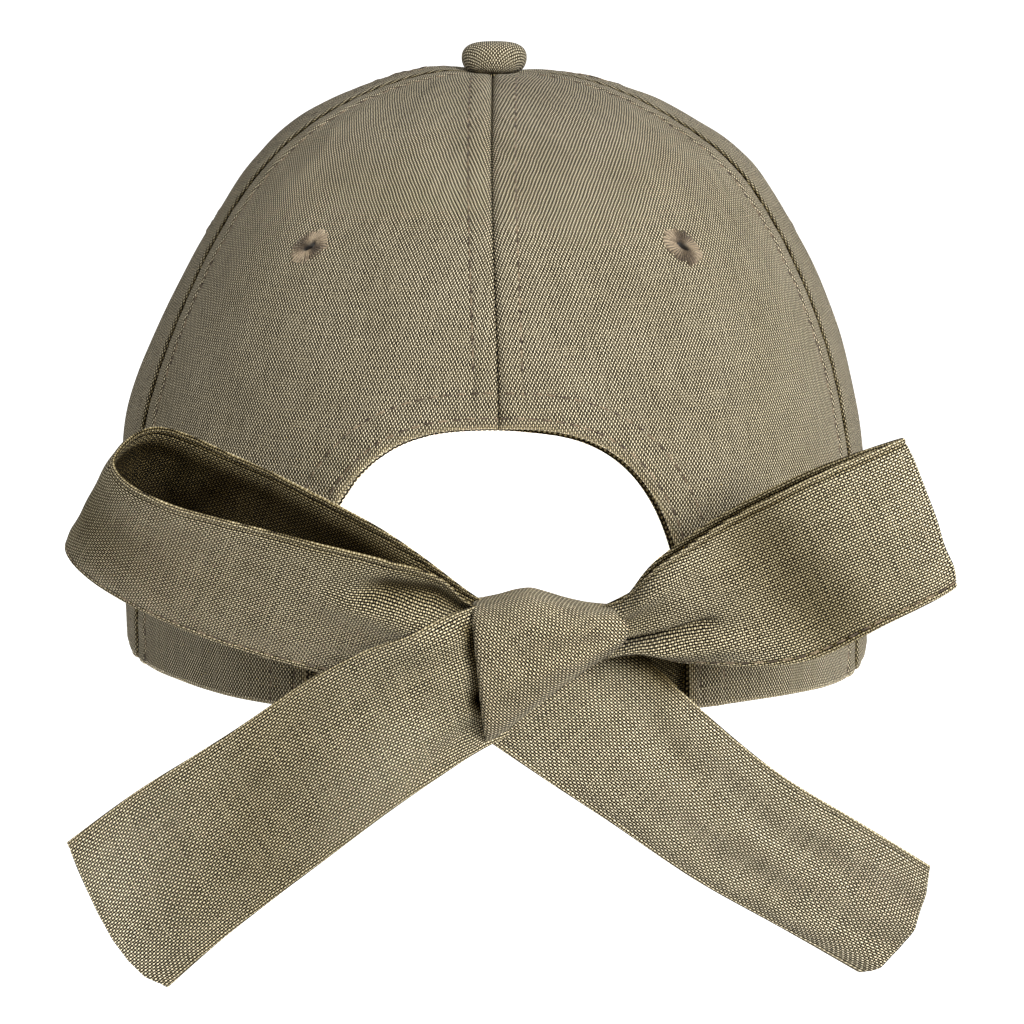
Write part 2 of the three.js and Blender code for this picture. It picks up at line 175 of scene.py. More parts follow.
STRAP_LEFT = (
    (-46, 78, 15.5, 28, 0, -3),
    (-36, 84.6, 15.5, 28, 0, -3),
    (-27, 90.5, 15.5, 27, 0, 0),
    (-18, 96, 15, 24, 0, 0),
    (-9, 98.7, 14, 20, 0, 0),
    (1, 99.5, 14, 18, 0, 0),
)
STRAP_RIGHT = (
    (46, 78, 15.5, 28, 0, -3),
    (36, 84.6, 15.5, 28, 0, -3),
    (27, 90.5, 12.4, 24, 0, 0),
    (18, 96.3, 10.6, 21, 0, 0),
    (10, 98.7, 9.8, 18, 0, 0),
    (1.6, 99.5, 9.5, 17, 0, 0),
)
LOOP_LEFT = (
    (0, 112, 14, 19, 0, 5),
    (-7, 114, 16, 22, 8, 15),
    (-18, 117, 21, 31, 19, 29),
    (-43, 118, 28, 31, 23, 30),
    (-67, 115, 36, 31, 26, 39),
    (-77, 108, 43, 31, 30, 42),
    (-70, 101, 48, 31, 29, 38),
    (-54, 101, 41, 31, 25, 33),
    (-28, 105, 28, 31, 18, 29),
    (-8, 109.5, 17, 23, 11, 15),
    (0, 109, 14, 20, 0, 5),
)
LOOP_RIGHT = (
    (19, 112.5, 19, 10, -20, 5),
    (26, 114, 21, 12, -20, 10),
    (34, 117, 24, 22, -16, 17),
    (52, 117, 29, 31, -24, 1),
    (67.5, 115.5, 36.5, 31.6, -25, 0),
    (81.2, 111, 42.3, 30.4, -19, 0),
    (67.5, 106.5, 36.5, 31, -24, 0),
    (52, 106, 29, 31, -24, 0),
    (34, 108, 23.5, 22, -16, 8),
    (26, 110, 20.5, 12, -20, 0),
    (19, 110, 19, 10, -20, 0),
)
TAIL_LEFT = (
    (1, 114.8, 13, 26, -5, 5),
    (-5, 118.3, 11.2, 27, -10, 8),
    (-12, 119, 8, 28, -19, 10),
    (-25, 118, 0.8, 29.6, -25, 0),
    (-43, 116, -12.4, 30.8, -30, 0),
    (-60, 113, -25, 33, -30, 0),
    (-72.8, 110, -35.9, 34.4, -33, 0),
)
TAIL_RIGHT = (
    (9, 107, 9, 32, 50, 0),
    (18, 108, 2.7, 31, 46, 0),
    (30, 109, -6.6, 28.6, 38, 5),
    (46, 110, -18.6, 27.4, 34, 10),
    (63, 109, -28.9, 27.4, 32, 14),
    (77, 106, -38, 27.4, 28, 16),
)
# How far the cut end of a tail runs past its table: share of the width from the upper corner, and mm
TAIL_LEFT_TIP = ((0, 0), (0.27, 1.8), (0.45, 2.9), (0.6, 3.5), (0.75, 3.3), (0.88, 2.2), (1, -0.3))
TAIL_RIGHT_TIP = ((0, 0), (0.2, 2.2), (0.49, 4.2), (0.7, 3.9), (0.88, 2.6), (0.96, 0.9), (1, -0.8))
NO_TIP = ((0, 0), (1, 0))

# Creases of a ribbon: from and to, each as mm along it and mm across it, then spread and height in mm
LOOP_LEFT_CREASES = (
    (3, 13, 27, 8, 2.8, 2.6),
    (4, 1, 34, 3, 3.2, -1.4),
    (4, -8, 26, -9, 3.0, 1.2),
    (14, -13, 46, -13, 4.0, 0.8),
    (70, -4, 84, 4, 6.0, 0.6),
)
LOOP_RIGHT_CREASES = (
    (3, -6, 22, -3.2, 1.4, -2.2),
    (5, 3, 30, 4, 3.0, 1.2),
    (8, -10, 26, -9, 3.0, 1.5),
    (34, 15, 42, -15, 7.0, -1.8),
    (58, 15, 64, -15, 8.0, 1.4),
)
TAIL_LEFT_CREASES = (
    (1.5, -6.5, 6, -4.5, 1.8, 2.2),
    (0, 15, 9, 15, 2.8, 2.6),
    (4, 6, 30, 5, 3.4, 1.0),
    (6, -9, 22, -12, 2.2, 1.0),
    (38, 9, 58, -12, 5.0, 0.7),
    (62, 12, 78, -8, 5.5, -0.7),
    (30, -10, 52, 8, 5.0, -0.6),
)
TAIL_RIGHT_CREASES = (
    (10, 6, 50, 8, 4.0, -0.6),
    (20, -6, 64, -2, 4.5, 0.6),
    (58, 2, 84, -6, 4.5, -0.5),
)

# Painted light and shade on a ribbon, laid out like the creases: below 0 it is painted shade, above 0 painted
# light
LOOP_LEFT_PAINTED_LIGHT = (
    (3, 13.5, 27, 8.5, 2.8, -4.4),
    (18, 15, 48, 16, 3.0, -1.4),
    (10, 0, 70, 0, 20.0, -1.2),
    (74, 0, 92, 0, 9.0, -1.8),
)
LOOP_RIGHT_PAINTED_LIGHT = (
    (36, 14, 45, -14, 9.0, -3.4),
    (10, 0, 28, 0, 12.0, -1.0),
    (3, -6, 22, -3.2, 1.4, -1.5),
    (66, 12, 72, -12, 4.0, 0.6),
)
TAIL_LEFT_PAINTED_LIGHT = (
    (38, 12, 64, -10, 12.0, -1.9),
    (84, 12, 92, -12, 9.0, 1.5),
    (18, -4, 32, -8, 4.5, 0.8),
    (10, 8, 22, 6, 8.0, -0.9),
    (5.6, 12, 5.0, -12, 1.2, -5.0),
    (1.5, -6.5, 6.5, -4.5, 2.2, -6.5),
)
TAIL_RIGHT_PAINTED_LIGHT = (
    (0, 15, 18, 16, 3.6, -6.3),
    (20, 0, 84, 0, 30.0, 1.0),
    (20, 10, 52, -4, 3.0, -0.8),
)
STRAP_LEFT_PAINTED_SHADE = (
    (0, 0, 60, 0, 60.0, -2.5),
    (9, 14, 9, -14, 1.2, -3.5),
)
STRAP_RIGHT_PAINTED_SHADE = (
    (0, 0, 60, 0, 60.0, -5.2),
    (9, 14, 9, -14, 1.2, -3.0),
)

# Ribbons: sections, creases, painted light and shade, seed, painted shade in the groove of the sewn line by
# each edge, painted shade on a loop's inner face at the front and at the back, and tip
RIBBONS = {
    "strap_left": (STRAP_LEFT, (), STRAP_LEFT_PAINTED_SHADE, 41, 0, (0, 0), NO_TIP),
    "strap_right": (STRAP_RIGHT, (), STRAP_RIGHT_PAINTED_SHADE, 42, 0, (0, 0), NO_TIP),
    "loop_left": (LOOP_LEFT, LOOP_LEFT_CREASES, LOOP_LEFT_PAINTED_LIGHT, 51, -1.5, (-6.5, 0), NO_TIP),
    "loop_right": (LOOP_RIGHT, LOOP_RIGHT_CREASES, LOOP_RIGHT_PAINTED_LIGHT, 53, -3.5, (0, -4), NO_TIP),
    "tail_left": (TAIL_LEFT, TAIL_LEFT_CREASES, TAIL_LEFT_PAINTED_LIGHT, 61, 0, (0, 0), TAIL_LEFT_TIP),
    "tail_right": (TAIL_RIGHT, TAIL_RIGHT_CREASES, TAIL_RIGHT_PAINTED_LIGHT, 63, 0, (0, 0), TAIL_RIGHT_TIP),
}
STRAP_STATIONS = 120
# Stitching of the bow: ribbon, face, and shares of its sections where the row starts and ends
BOW_ROWS = (
    ("loop_right", 1, 0.06, 0.94),
    ("loop_left", -1, 0.1, 0.9),
    ("strap_left", 1, 0.02, 0.9),
    ("strap_right", -1, 0.02, 0.9),
)

# Rings of a stitch: place in lengths and radius in radii
STITCH_RINGS = ((-0.5, 0.25), (-0.38, 0.85), (0, 1), (0.38, 0.85), (0.5, 0.25))

# Knot sections: place across the bow along its slant, lower and upper edge, and depth
KNOT_BACK = 111.5
KNOT_SLANT = 0.1
KNOT_MIDDLE = 13.5
KNOT_POWER = 3
KNOT_SECTIONS = (
    (-3.6, -0.2, 24.6, 15),
    (-3.1, -0.9, 25.6, 20.5),
    (-1.0, 0.2, 26.0, 22),
    (2.0, 2.3, 26.6, 22.4),
    (5.0, 4.6, 27.4, 22.4),
    (8.0, 6.9, 27.7, 22),
    (11.0, 9.0, 26.9, 21.4),
    (14.5, 11.4, 25.8, 20.4),
    (18.0, 13.7, 25.0, 18.6),
    (21.0, 15.4, 24.7, 16.2),
    (23.4, 17.0, 24.5, 13.4),
    (25.0, 18.6, 23.3, 10.4),
    (25.7, 20.0, 21.8, 6.4),
)
# Folds that fan out over the knot: angle from level in degrees, spread and height
KNOT_FOLDS = ((3, 5, 0.45), (-10, 4, -0.5), (-19, 4, 0.35), (12, 4, -0.3))

# Spacing of the yarns in mm, across and along the cloth: the crown's medium linen, and the bow's denser one
CROWN_YARNS = (0.41, 0.52)
BOW_YARNS = (0.48, 0.51)

# Stage in metres: the floor's profile, the lamps with what they face, their size and their spread in
# degrees, and the camera with its focal length over its picture's width
FLOOR_PROFILE = ((0, -0.25), (3.0, -0.25), (6.0, -0.2), (7.5, 0.6), (8.0, 3.0), (7.0, 6.0), (0, 8.0))
LAMPS = (
    ("key", (1.0, -1.35, 0.65), (0, -0.05, 0.04), 0.7, 180),
    ("fill", (-1.2, -1.4, 0.5), (0, -0.05, 0.04), 1.2, 180),
    ("bounce", (0, 0.06, -0.22), (0, 0.07, 0), 0.2, 60),
)
SENSOR_WIDTH = 36
FOCAL_WIDTHS = 3910 / 1024
CAMERA_PLACE = (0.003, -0.8395, 0.158)
CAMERA_TILT = 81


# Shared arithmetic

def smooth_step(low, high, value):
    """0 below low, 1 above high, and between them 3t^2 - 2t^3 of the share t of the way."""
    share = np.clip((value - low) / (high - low), 0, 1)
    return share * share * (3 - 2 * share)


def bell(distance, spread):
    """A bump of height 1: e to the minus square of distance over spread."""
    return np.exp(-(np.asarray(distance) / spread) ** 2)


def signed_power(value, power):
    """Absolute value raised to a power, with the value's own sign."""
    return np.sign(value) * np.abs(value) ** power


def dense_ends(count, strength):
    """Shares from 0 to 1, closer together at both ends: t less a sine wave of one turn."""
    share = np.linspace(0, 1, count)
    return share - strength * np.sin(2 * np.pi * share) / (2 * np.pi)


def lengths_along(points):
    """Distance travelled from the first point to each point of a line."""
    steps = np.linalg.norm(np.diff(points, axis=0), axis=1)
    return np.concatenate([[0], np.cumsum(steps)])


def resample(points, shares):
    """Points of a line at shares of its whole length, joined by straight pieces."""
    travelled = lengths_along(points)
    wanted = np.asarray(shares) * travelled[-1]
    return np.stack([np.interp(wanted, travelled, column) for column in points.T], axis=-1)


def unit(vectors):
    """Vectors brought to length one."""
    return vectors / np.maximum(np.linalg.norm(vectors, axis=-1, keepdims=True), 1e-9)


def ripple(first, second, seed):
    """Gentle unevenness between about -1 and 1: a sum of six sine waves in random directions.
    Both coordinates are in waves, so a step of one crosses about one hollow."""
    random = np.random.default_rng(seed)
    total = 0
    for _ in range(6):
        angle, phase = random.uniform(0, 2 * np.pi, 2)
        stretch = random.uniform(0.6, 1.5)
        total = total + np.sin(2 * np.pi * stretch * (first * np.cos(angle) + second * np.sin(angle)) + phase)
    return total / 3


# Meshes

def build_mesh(name, points, faces, grain, shade, material, pressed=0, pale=0):
    """A smooth mesh from points in mm and four-sided faces. `grain` is the place on the flat cloth in mm,
    across and along its threads. `shade` is painted shade below 0, where a fold, seam or slit or the room
    under a part
    is dark. Above 0 the cloth is paler: painted light on the ribbons and the button, and wear along the
    peak's edge.
    `pressed` is 1 at a pressed edge, and `pale` is 1 where the cloth is faced."""
    mesh = bpy.data.meshes.new(name)
    mesh.vertices.add(len(points))
    mesh.vertices.foreach_set("co", (points * MM).astype(np.float32).ravel())
    corners = faces.astype(np.int32).ravel()
    mesh.loops.add(len(corners))
    mesh.loops.foreach_set("vertex_index", corners)
    mesh.polygons.add(len(faces))
    mesh.polygons.foreach_set("loop_start", np.arange(len(faces), dtype=np.int32) * 4)
    mesh.update(calc_edges=True)
    mesh.uv_layers.new(name="grain")
    mesh.uv_layers["grain"].uv.foreach_set("vector", (grain[corners] * MM).astype(np.float32).ravel())
    for key, value in (("shade", shade), ("pressed", pressed), ("pale", pale)):
        layer = mesh.attributes.new(key, "FLOAT", "POINT")
        layer.data.foreach_set("value", np.broadcast_to(value, len(points)).astype(np.float32))
    mesh.validate()
    mesh.shade_smooth()
    mesh.set_sharp_from_angle(angle=math.radians(SHARP_ANGLE))
    mesh.materials.append(material)
    piece = bpy.data.objects.new(name, mesh)
    bpy.context.scene.collection.objects.link(piece)
    return piece


def weld(piece):
    """Joins points that lie on each other, as at a pole."""
    work = bmesh.new()
    work.from_mesh(piece.data)
    bmesh.ops.remove_doubles(work, verts=work.verts, dist=1e-7)
    work.to_mesh(piece.data)
    work.free()
    return piece


def finish_piece(piece, nodes=()):
    """The piece moves with the cap and stands for its solids."""
    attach(piece, "root")
    if nodes:
        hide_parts(*nodes)
    return piece


def two_sided(name, outer, inner, faces, grain, shade, material, pressed=0, pale=0):
    """A closed wall from two grids of points that share their grain, shade and pressed edges."""
    points = np.concatenate([outer.reshape(-1, 3), inner.reshape(-1, 3)])
    pressed = np.tile(np.broadcast_to(pressed, len(shade)), 2)
    return build_mesh(name, points, faces, np.tile(grain.reshape(-1, 2), (2, 1)), np.tile(shade, 2), material,
                      pressed, pale)


def turned_faces(around, count):
    """Faces of a profile of `count` points that is turned about an axis in `around` steps."""
    index = np.arange(around * count).reshape(around, count)
    ahead = np.roll(index, -1, axis=0)
    return np.stack([index[:, :-1], ahead[:, :-1], ahead[:, 1:], index[:, 1:]], axis=-1).reshape(-1, 4)


def grid_faces(rows, columns):
    """Faces of a grid of points, rows times columns, stored row by row."""
    corner = (np.arange(rows - 1)[:, None] * columns + np.arange(columns - 1)[None, :]).ravel()
    return np.stack([corner, corner + 1, corner + columns + 1, corner + columns], axis=1)


def shell_faces(rows, columns):
    """Faces of a closed wall between two grids of one size. Columns times rows point out of the first."""
    first = grid_faces(rows, columns)
    count = rows * columns
    second = first[:, ::-1] + count
    index = np.arange(count).reshape(rows, columns)
    around = np.concatenate([index[0, :-1], index[:-1, -1], index[-1, :0:-1], index[:0:-1, 0]])
    following = np.roll(around, -1)
    rim = np.stack([around + count, following + count, following, around], axis=1)
    return np.concatenate([first, second, rim])


def tube_faces(rings, around):
    """Faces of rings of points joined in order, each ring closed on itself."""
    ring = np.arange(rings - 1)[:, None] * around
    step = np.arange(around)[None, :]
    following = (step + 1) % around
    parts = [ring + step, ring + following, ring + around + following, ring + around + step]
    return np.stack(np.broadcast_arrays(*parts), axis=-1).reshape(-1, 4)


def stitches(name, lines, thread):
    """Short raised threads along lines of points with their normals. Each is a pill of five rings whose ends
    dive into the cloth: its height falls with the fourth power of the distance from its middle."""
    pitch, length, radius = thread.pitch, thread.length, thread.radius
    along, girth = np.transpose(STITCH_RINGS)[..., None]
    along, girth = along * length, girth * radius
    turn = np.arange(6) * np.pi / 3
    side = girth * np.cos(turn)
    lift = girth * np.sin(turn) * 0.8 - 0.5 * radius * (2 * along / length) ** 4
    local = np.stack(np.broadcast_arrays(along, side, lift + 0.25 * radius), axis=-1).reshape(-1, 3)
    caps = np.array([[3, 2, 1, 0], [5, 4, 3, 0], [24, 25, 26, 27], [24, 27, 28, 29]])
    pill = np.concatenate([tube_faces(5, 6), caps])
    points, faces, grain = [], [], []
    total = 0
    for centres, normals in lines:
        travelled = lengths_along(centres)
        count = int((travelled[-1] - length) / pitch)
        if count < 1:
            continue
        places = length / 2 + np.arange(count) * pitch
        both = np.concatenate([centres, normals], axis=1)
        behind, middle, ahead = (
            np.stack([np.interp(places + shift, travelled, column) for column in both.T], axis=-1)
            for shift in (-0.2, 0, 0.2))
        ahead = unit(ahead[:, :3] - behind[:, :3])
        up = unit(middle[:, 3:])
        axes = np.stack([ahead, unit(np.cross(up, ahead)), up], axis=1)
        points.append((middle[:, None, :3] + np.einsum("vk,skc->svc", local, axes)).reshape(-1, 3))
        faces.append((pill[None] + total + np.arange(count)[:, None, None] * len(local)).reshape(-1, 4))
        place = np.stack(np.broadcast_arrays(local[None, :, 1], places[:, None] + local[None, :, 0]), axis=-1)
        grain.append(place.reshape(-1, 2))
        total += count * len(local)
    points, faces, grain = (np.concatenate(parts) for parts in (points, faces, grain))
    return finish_piece(build_mesh(name, points, faces, grain, 0, finish("seam_thread")))


# Crown

def wrap(angle):
    """The same angle between -180 and 180 degrees."""
    return (angle + 180) % 360 - 180


def plain_crown(around, up):
    """Superellipse plan times superellipse profile. The climb up the profile is eased at both ends."""
    around, up = np.broadcast_arrays(np.asarray(around, float), np.asarray(up, float))
    sine, cosine = np.sin(np.radians(around)), np.cos(np.radians(around))
    plan = (np.abs(sine) ** PLAN_POWER + np.abs(cosine) ** PLAN_POWER) ** (-1 / PLAN_POWER)
    rise = up ** (DOME_POWER / 2)
    rest = (1 - up) ** (FLANK_POWER / 2)
    climb = np.pi / 2 * rise / (rise + rest)
    reach = plan * np.cos(climb) ** (2 / FLANK_POWER)
    depth = np.where(cosine > 0, BACK_REACH, FRONT_REACH)
    height = CROWN_HEIGHT * np.sin(climb) ** (2 / DOME_POWER)
    return np.stack([HALF_WIDTH * reach * sine, -depth * reach * cosine, height], axis=-1)


def crown_normal(around, up):
    """Outward direction: the step along the level crossed with the step up the profile."""
    step = 0.002
    level = np.clip(up, step, 1 - 4 * step)
    across = plain_crown(around + 1, level) - plain_crown(around - 1, level)
    upward = plain_crown(around, level + step) - plain_crown(around, level - step)
    return unit(np.cross(across, upward))


def arch_slope(x, z):
    """Slopes of the arch's superellipse along both axes, but for a power of its level."""
    sizes = (x, ARCH_HALF_WIDTH), (z, ARCH_HEIGHT)
    return [(value / size) ** (ARCH_POWER - 1) / size for value, size in sizes]


def level_radius(around, up):
    """Distance of the crown from its upright axis."""
    place = plain_crown(around, up)
    return np.hypot(place[..., 0], place[..., 1])


def seam_distance(around, up):
    """Distance in mm from the nearest seam, along the level."""
    turns = [np.abs(wrap(around - seam)) for seam in SEAMS]
    return np.radians(np.minimum.reduce(turns)) * level_radius(around, up)


def arch_distance(around, up):
    """Distance in mm outside the edge of the arch, seen from behind: its superellipse level less one, over
    the slope of that level. It is large at the front of the crown."""
    place = plain_crown(around, up)
    x, z = np.abs(place[..., 0]) + 1e-6, place[..., 2] + 1e-6
    level = ((x / ARCH_HALF_WIDTH) ** ARCH_POWER + (z / ARCH_HEIGHT) ** ARCH_POWER) ** (1 / ARCH_POWER)
    slope = np.hypot(*arch_slope(x, z)) * level ** (1 - ARCH_POWER)
    return np.where(place[..., 1] < 0, (level - 1) / slope, 1000)


def fold_depth(around, up):
    """Depth of the broad folds in mm: a sum of bells in angle and in share of the way up."""
    depth = 0
    for place, height, around_spread, up_spread, push in CROWN_FOLDS:
        turn = wrap(around - place) / around_spread
        depth = depth + push * np.exp(-turn ** 2 - ((up - height) / up_spread) ** 2)
    return depth


def worn_shift(around, up):
    """How the worn cloth is moved bodily in mm: the centre seam leans to the left towards the top, and the
    rim rises and falls."""
    height = plain_crown(around, up)[..., 2]
    lean = (0.4 - 1.5 * smooth_step(55, 110, height)) * bell(wrap(around), 30)
    rise = 0
    for place, spread, lift in RIM_WAVES:
        rise = rise + lift * bell(wrap(around - place), spread) * (1 - up) ** 5
    return np.stack(np.broadcast_arrays(lean, 0.0, rise), axis=-1)


def crown_relief(around, up):
    """How far the sewn outer face lies inside the plain crown, in mm: broad folds, a groove at each seam, a
    raised welt between groove and topstitching, a dip under each row, puckers by the seams and a slack
    unevenness of the cloth. The arch has its own raised hem with two rows."""
    depth = fold_depth(around, up)
    seam, arch = seam_distance(around, up), arch_distance(around, up)
    arm = np.clip(level_radius(around, up) / 25, 0, 1)
    along, side = 150 * up, np.radians(around) * 60
    depth = depth + GROOVE_DEPTH * np.exp(-seam / 0.28) + 0.15 * bell(seam, 1.0)
    depth = depth - WELT_HEIGHT * arm * (smooth_step(0.5, 1.8, seam) - smooth_step(5.0, 6.8, seam))
    depth = depth + 0.22 * arm * bell(seam - TOPSTITCH, 0.55)
    pucker = np.sin(2 * np.pi * (along / PUCKER_PITCH + 0.6 * ripple(along / 30, around / 40, 5)))
    depth = depth + 0.1 * arm * pucker * smooth_step(0.5, 3, seam) * (1 - smooth_step(5, 12, seam))
    for high, wide, tall, seed, near, far in CROWN_SLACK:
        depth = depth + high * arm * ripple(side / wide, along / tall, seed) * smooth_step(near, far, seam)
    hem = 1 - smooth_step(ARCH_ROWS[1] - 0.4, ARCH_ROWS[1] + 1.2, arch)
    depth = depth - HEM_HEIGHT * hem * smooth_step(-0.2, 1.2, arch)
    for row in ARCH_ROWS:
        depth = depth + 0.2 * bell(arch - row, 0.5)
    return depth + 0.12 * hem * np.sin(2 * np.pi * (along / 5.1 + side / 7.3))


def worn_crown(around, up, depth):
    """A point of the worn crown at a depth in mm inside its plain shape."""
    return plain_crown(around, up) - crown_normal(around, up) * depth[..., None] + worn_shift(around, up)


def crown_point(around, up):
    """A point of the sewn outer face."""
    return worn_crown(around, up, crown_relief(around, up))


def crown_inside(around, up, inset):
    """A point at a depth inside the crown's broad shape, with the folds but not the relief of the sewing."""
    return worn_crown(around, up, inset + fold_depth(around, up))


def locate_on_back(x, z):
    """Angle and share of the way up of points on the back of the crown, from x and height. Newton's method on
    both at once, with slopes from small steps."""
    around = np.degrees(np.arctan2(x, np.full_like(x, BACK_REACH)))
    up = np.clip(z / 165, 0, 0.9)
    for _ in range(14):
        place = plain_crown(around, up)
        by_turn = (plain_crown(around + 0.02, up) - place) / 0.02
        by_up = (plain_crown(around, up + 0.0005) - place) / 0.0005
        miss_x, miss_z = x - place[..., 0], z - place[..., 2]
        det = by_turn[..., 0] * by_up[..., 2] - by_up[..., 0] * by_turn[..., 2]
        around = around + (miss_x * by_up[..., 2] - miss_z * by_up[..., 0]) / det
        up = np.clip(up + (miss_z * by_turn[..., 0] - miss_x * by_turn[..., 2]) / det, 0, 0.98)
    return around, up


def arch_line(distance, shares):
    """Angle and share of the way up along a line beside the arch's edge, from its top to the right-hand rim.
    Seen from behind it is the arch's superellipse moved outwards along its normal."""
    angle = np.linspace(np.pi / 2, 0, 400)
    x = np.maximum(ARCH_HALF_WIDTH * signed_power(np.cos(angle), 2 / ARCH_POWER), 0)
    z = np.maximum(ARCH_HEIGHT * np.sin(angle) ** (2 / ARCH_POWER), 0)
    slope = arch_slope(x, z)
    long = np.hypot(*slope)
    line = np.stack([x + distance * slope[0] / long, z + distance * slope[1] / long], axis=-1)
    return locate_on_back(*resample(line, shares).T)


def panel_grain(around, up, middle):
    """Place on the flat cloth in mm: across from the panel's middle line, and up its profile."""
    heights = np.linspace(0, 1, 400)
    profile = lengths_along(plain_crown(middle, heights))
    across = np.radians(wrap(around - middle)) * level_radius(middle, up)
    return np.stack([across, np.interp(up, heights, profile)], axis=-1)


def panel_faces(outer, centre):
    """Faces of a closed panel between two grids, with a hole for the eyelet. Faces near the eyelet's centre
    are left out of both grids, and a wall joins the grids where a kept face meets one left out."""
    rows, columns = outer.shape[:2]
    first = grid_faces(rows, columns)
    middle = outer.reshape(-1, 3)[first].mean(axis=1)
    keep = np.linalg.norm(middle - centre, axis=1) > EYELET_HOLE
    count = rows * columns
    shell = shell_faces(rows, columns)
    kept = shell[np.concatenate([keep, keep, np.ones(len(shell) - 2 * len(first), bool)])]
    held = keep.reshape(rows - 1, columns - 1)
    corner = first.reshape(rows - 1, columns - 1, 4)
    walls = []
    for here, there, start, end in (
        (np.s_[:, :-1], np.s_[:, 1:], 1, 2),
        (np.s_[:, 1:], np.s_[:, :-1], 3, 0),
        (np.s_[:-1], np.s_[1:], 2, 3),
        (np.s_[1:], np.s_[:-1], 0, 1),
    ):
        meets = held[here] & ~held[there]
        near, far = corner[here][meets][:, start], corner[here][meets][:, end]
        walls.append(np.stack([far, near, near + count, far + count], axis=1))
    return np.concatenate([kept, *walls])


def crown_panel(name, around, up, middle):
    """A panel from a grid of angles and shares of the way up. Columns times rows point outwards. The cloth is
    thinner at its edges and under its seams, where it is darker too."""
    seam, arch = seam_distance(around, up), arch_distance(around, up)
    height = plain_crown(around, up)[..., 2]
    rounded = 0.3 * np.minimum(bell(arch, 0.5) + bell(height, 0.5), 1)[..., None] * crown_normal(around, up)
    outer = crown_point(around, up) - rounded
    inner = crown_inside(around, up, CLOTH + 0.35 * bell(seam, 1.0)) + rounded
    faces = panel_faces(outer, crown_point(np.float64(EYELETS[name][0]), np.float64(EYELET_UP)))
    # Painted shade in the seam grooves, darkest and uneven along the side-back seams
    side_seam = np.abs(np.abs(around) - SIDE_BACK_SEAM) < 20
    shade = np.where(side_seam, 10 + 3 * ripple(up * 60, up * 13, 17), 2.6)
    shade = np.clip(-shade * bell(seam, 0.3 + 0.6 * side_seam), DARKEST_SEAM_SHADE, 0).ravel()
    pressed = np.clip(bell(arch, 0.8) + bell(height, 0.8), 0, 1).ravel()
    facing = (smooth_step(*FACED_ANGLES, np.abs(around)) * (1 - smooth_step(*FACED_HEIGHTS, height))).ravel()
    piece = two_sided(f"linen_{name}", outer, inner, faces, panel_grain(around, up, middle), shade,
                      finish("crown_linen"), pressed, np.concatenate([0 * facing, facing]))
    return finish_piece(piece, [f"panel_{name}"])


def back_panel_grid(sign, rows, columns):
    """Angles and shares of the way up of a back panel. Its four sides are the edge of the arch, the rim, the
    side seam and the centre seam, and the inside is a Coons patch: the sum of the two ruled surfaces between
    opposite sides, less the one through the four corners. It is worked out on a polar map round the top."""
    down, out = dense_ends(rows, 0.45), dense_ends(columns, 0.72)

    def polar(around, up):
        reach, turn = 1 - up, np.radians(around)
        return np.stack([reach * np.sin(turn), reach * np.cos(turn)], axis=-1)

    arch = polar(*arch_line(0, down))
    hole = polar(np.linspace(0, SIDE_BACK_SEAM, 12), np.full(12, TOP_OF_PANELS))
    seam = polar(np.full(500, SIDE_BACK_SEAM), np.linspace(TOP_OF_PANELS, 0, 500))
    outer = resample(np.concatenate([hole, seam[1:]]), down)
    (arch_foot,), _ = arch_line(0, np.array([1.0]))
    _, (arch_top,) = arch_line(0, np.array([0.0]))
    centre = polar(np.zeros(columns), arch_top + (TOP_OF_PANELS - arch_top) * out)
    rim = polar(arch_foot + (SIDE_BACK_SEAM - arch_foot) * out, np.zeros(columns))
    s, t = out[None, :, None], down[:, None, None]
    ruled = (1 - s) * arch[:, None] + s * outer[:, None] + (1 - t) * centre[None] + t * rim[None]
    corners = (1 - s) * ((1 - t) * arch[0] + t * arch[-1]) + s * ((1 - t) * outer[0] + t * outer[-1])
    flat = (ruled - corners)[::-1, ::sign]
    around = sign * np.degrees(np.arctan2(flat[..., 0], flat[..., 1]))
    return around, np.clip(1 - np.hypot(flat[..., 0], flat[..., 1]), 0, TOP_OF_PANELS)


def side_panel_grid(start, end, rows, columns):
    """Angles and shares of the way up between two seams, closer together by the seams."""
    across = start + (end - start) * dense_ends(columns, 0.6)
    up = np.linspace(0, TOP_OF_PANELS, rows)
    return np.broadcast_arrays(across[None, :], up[:, None])


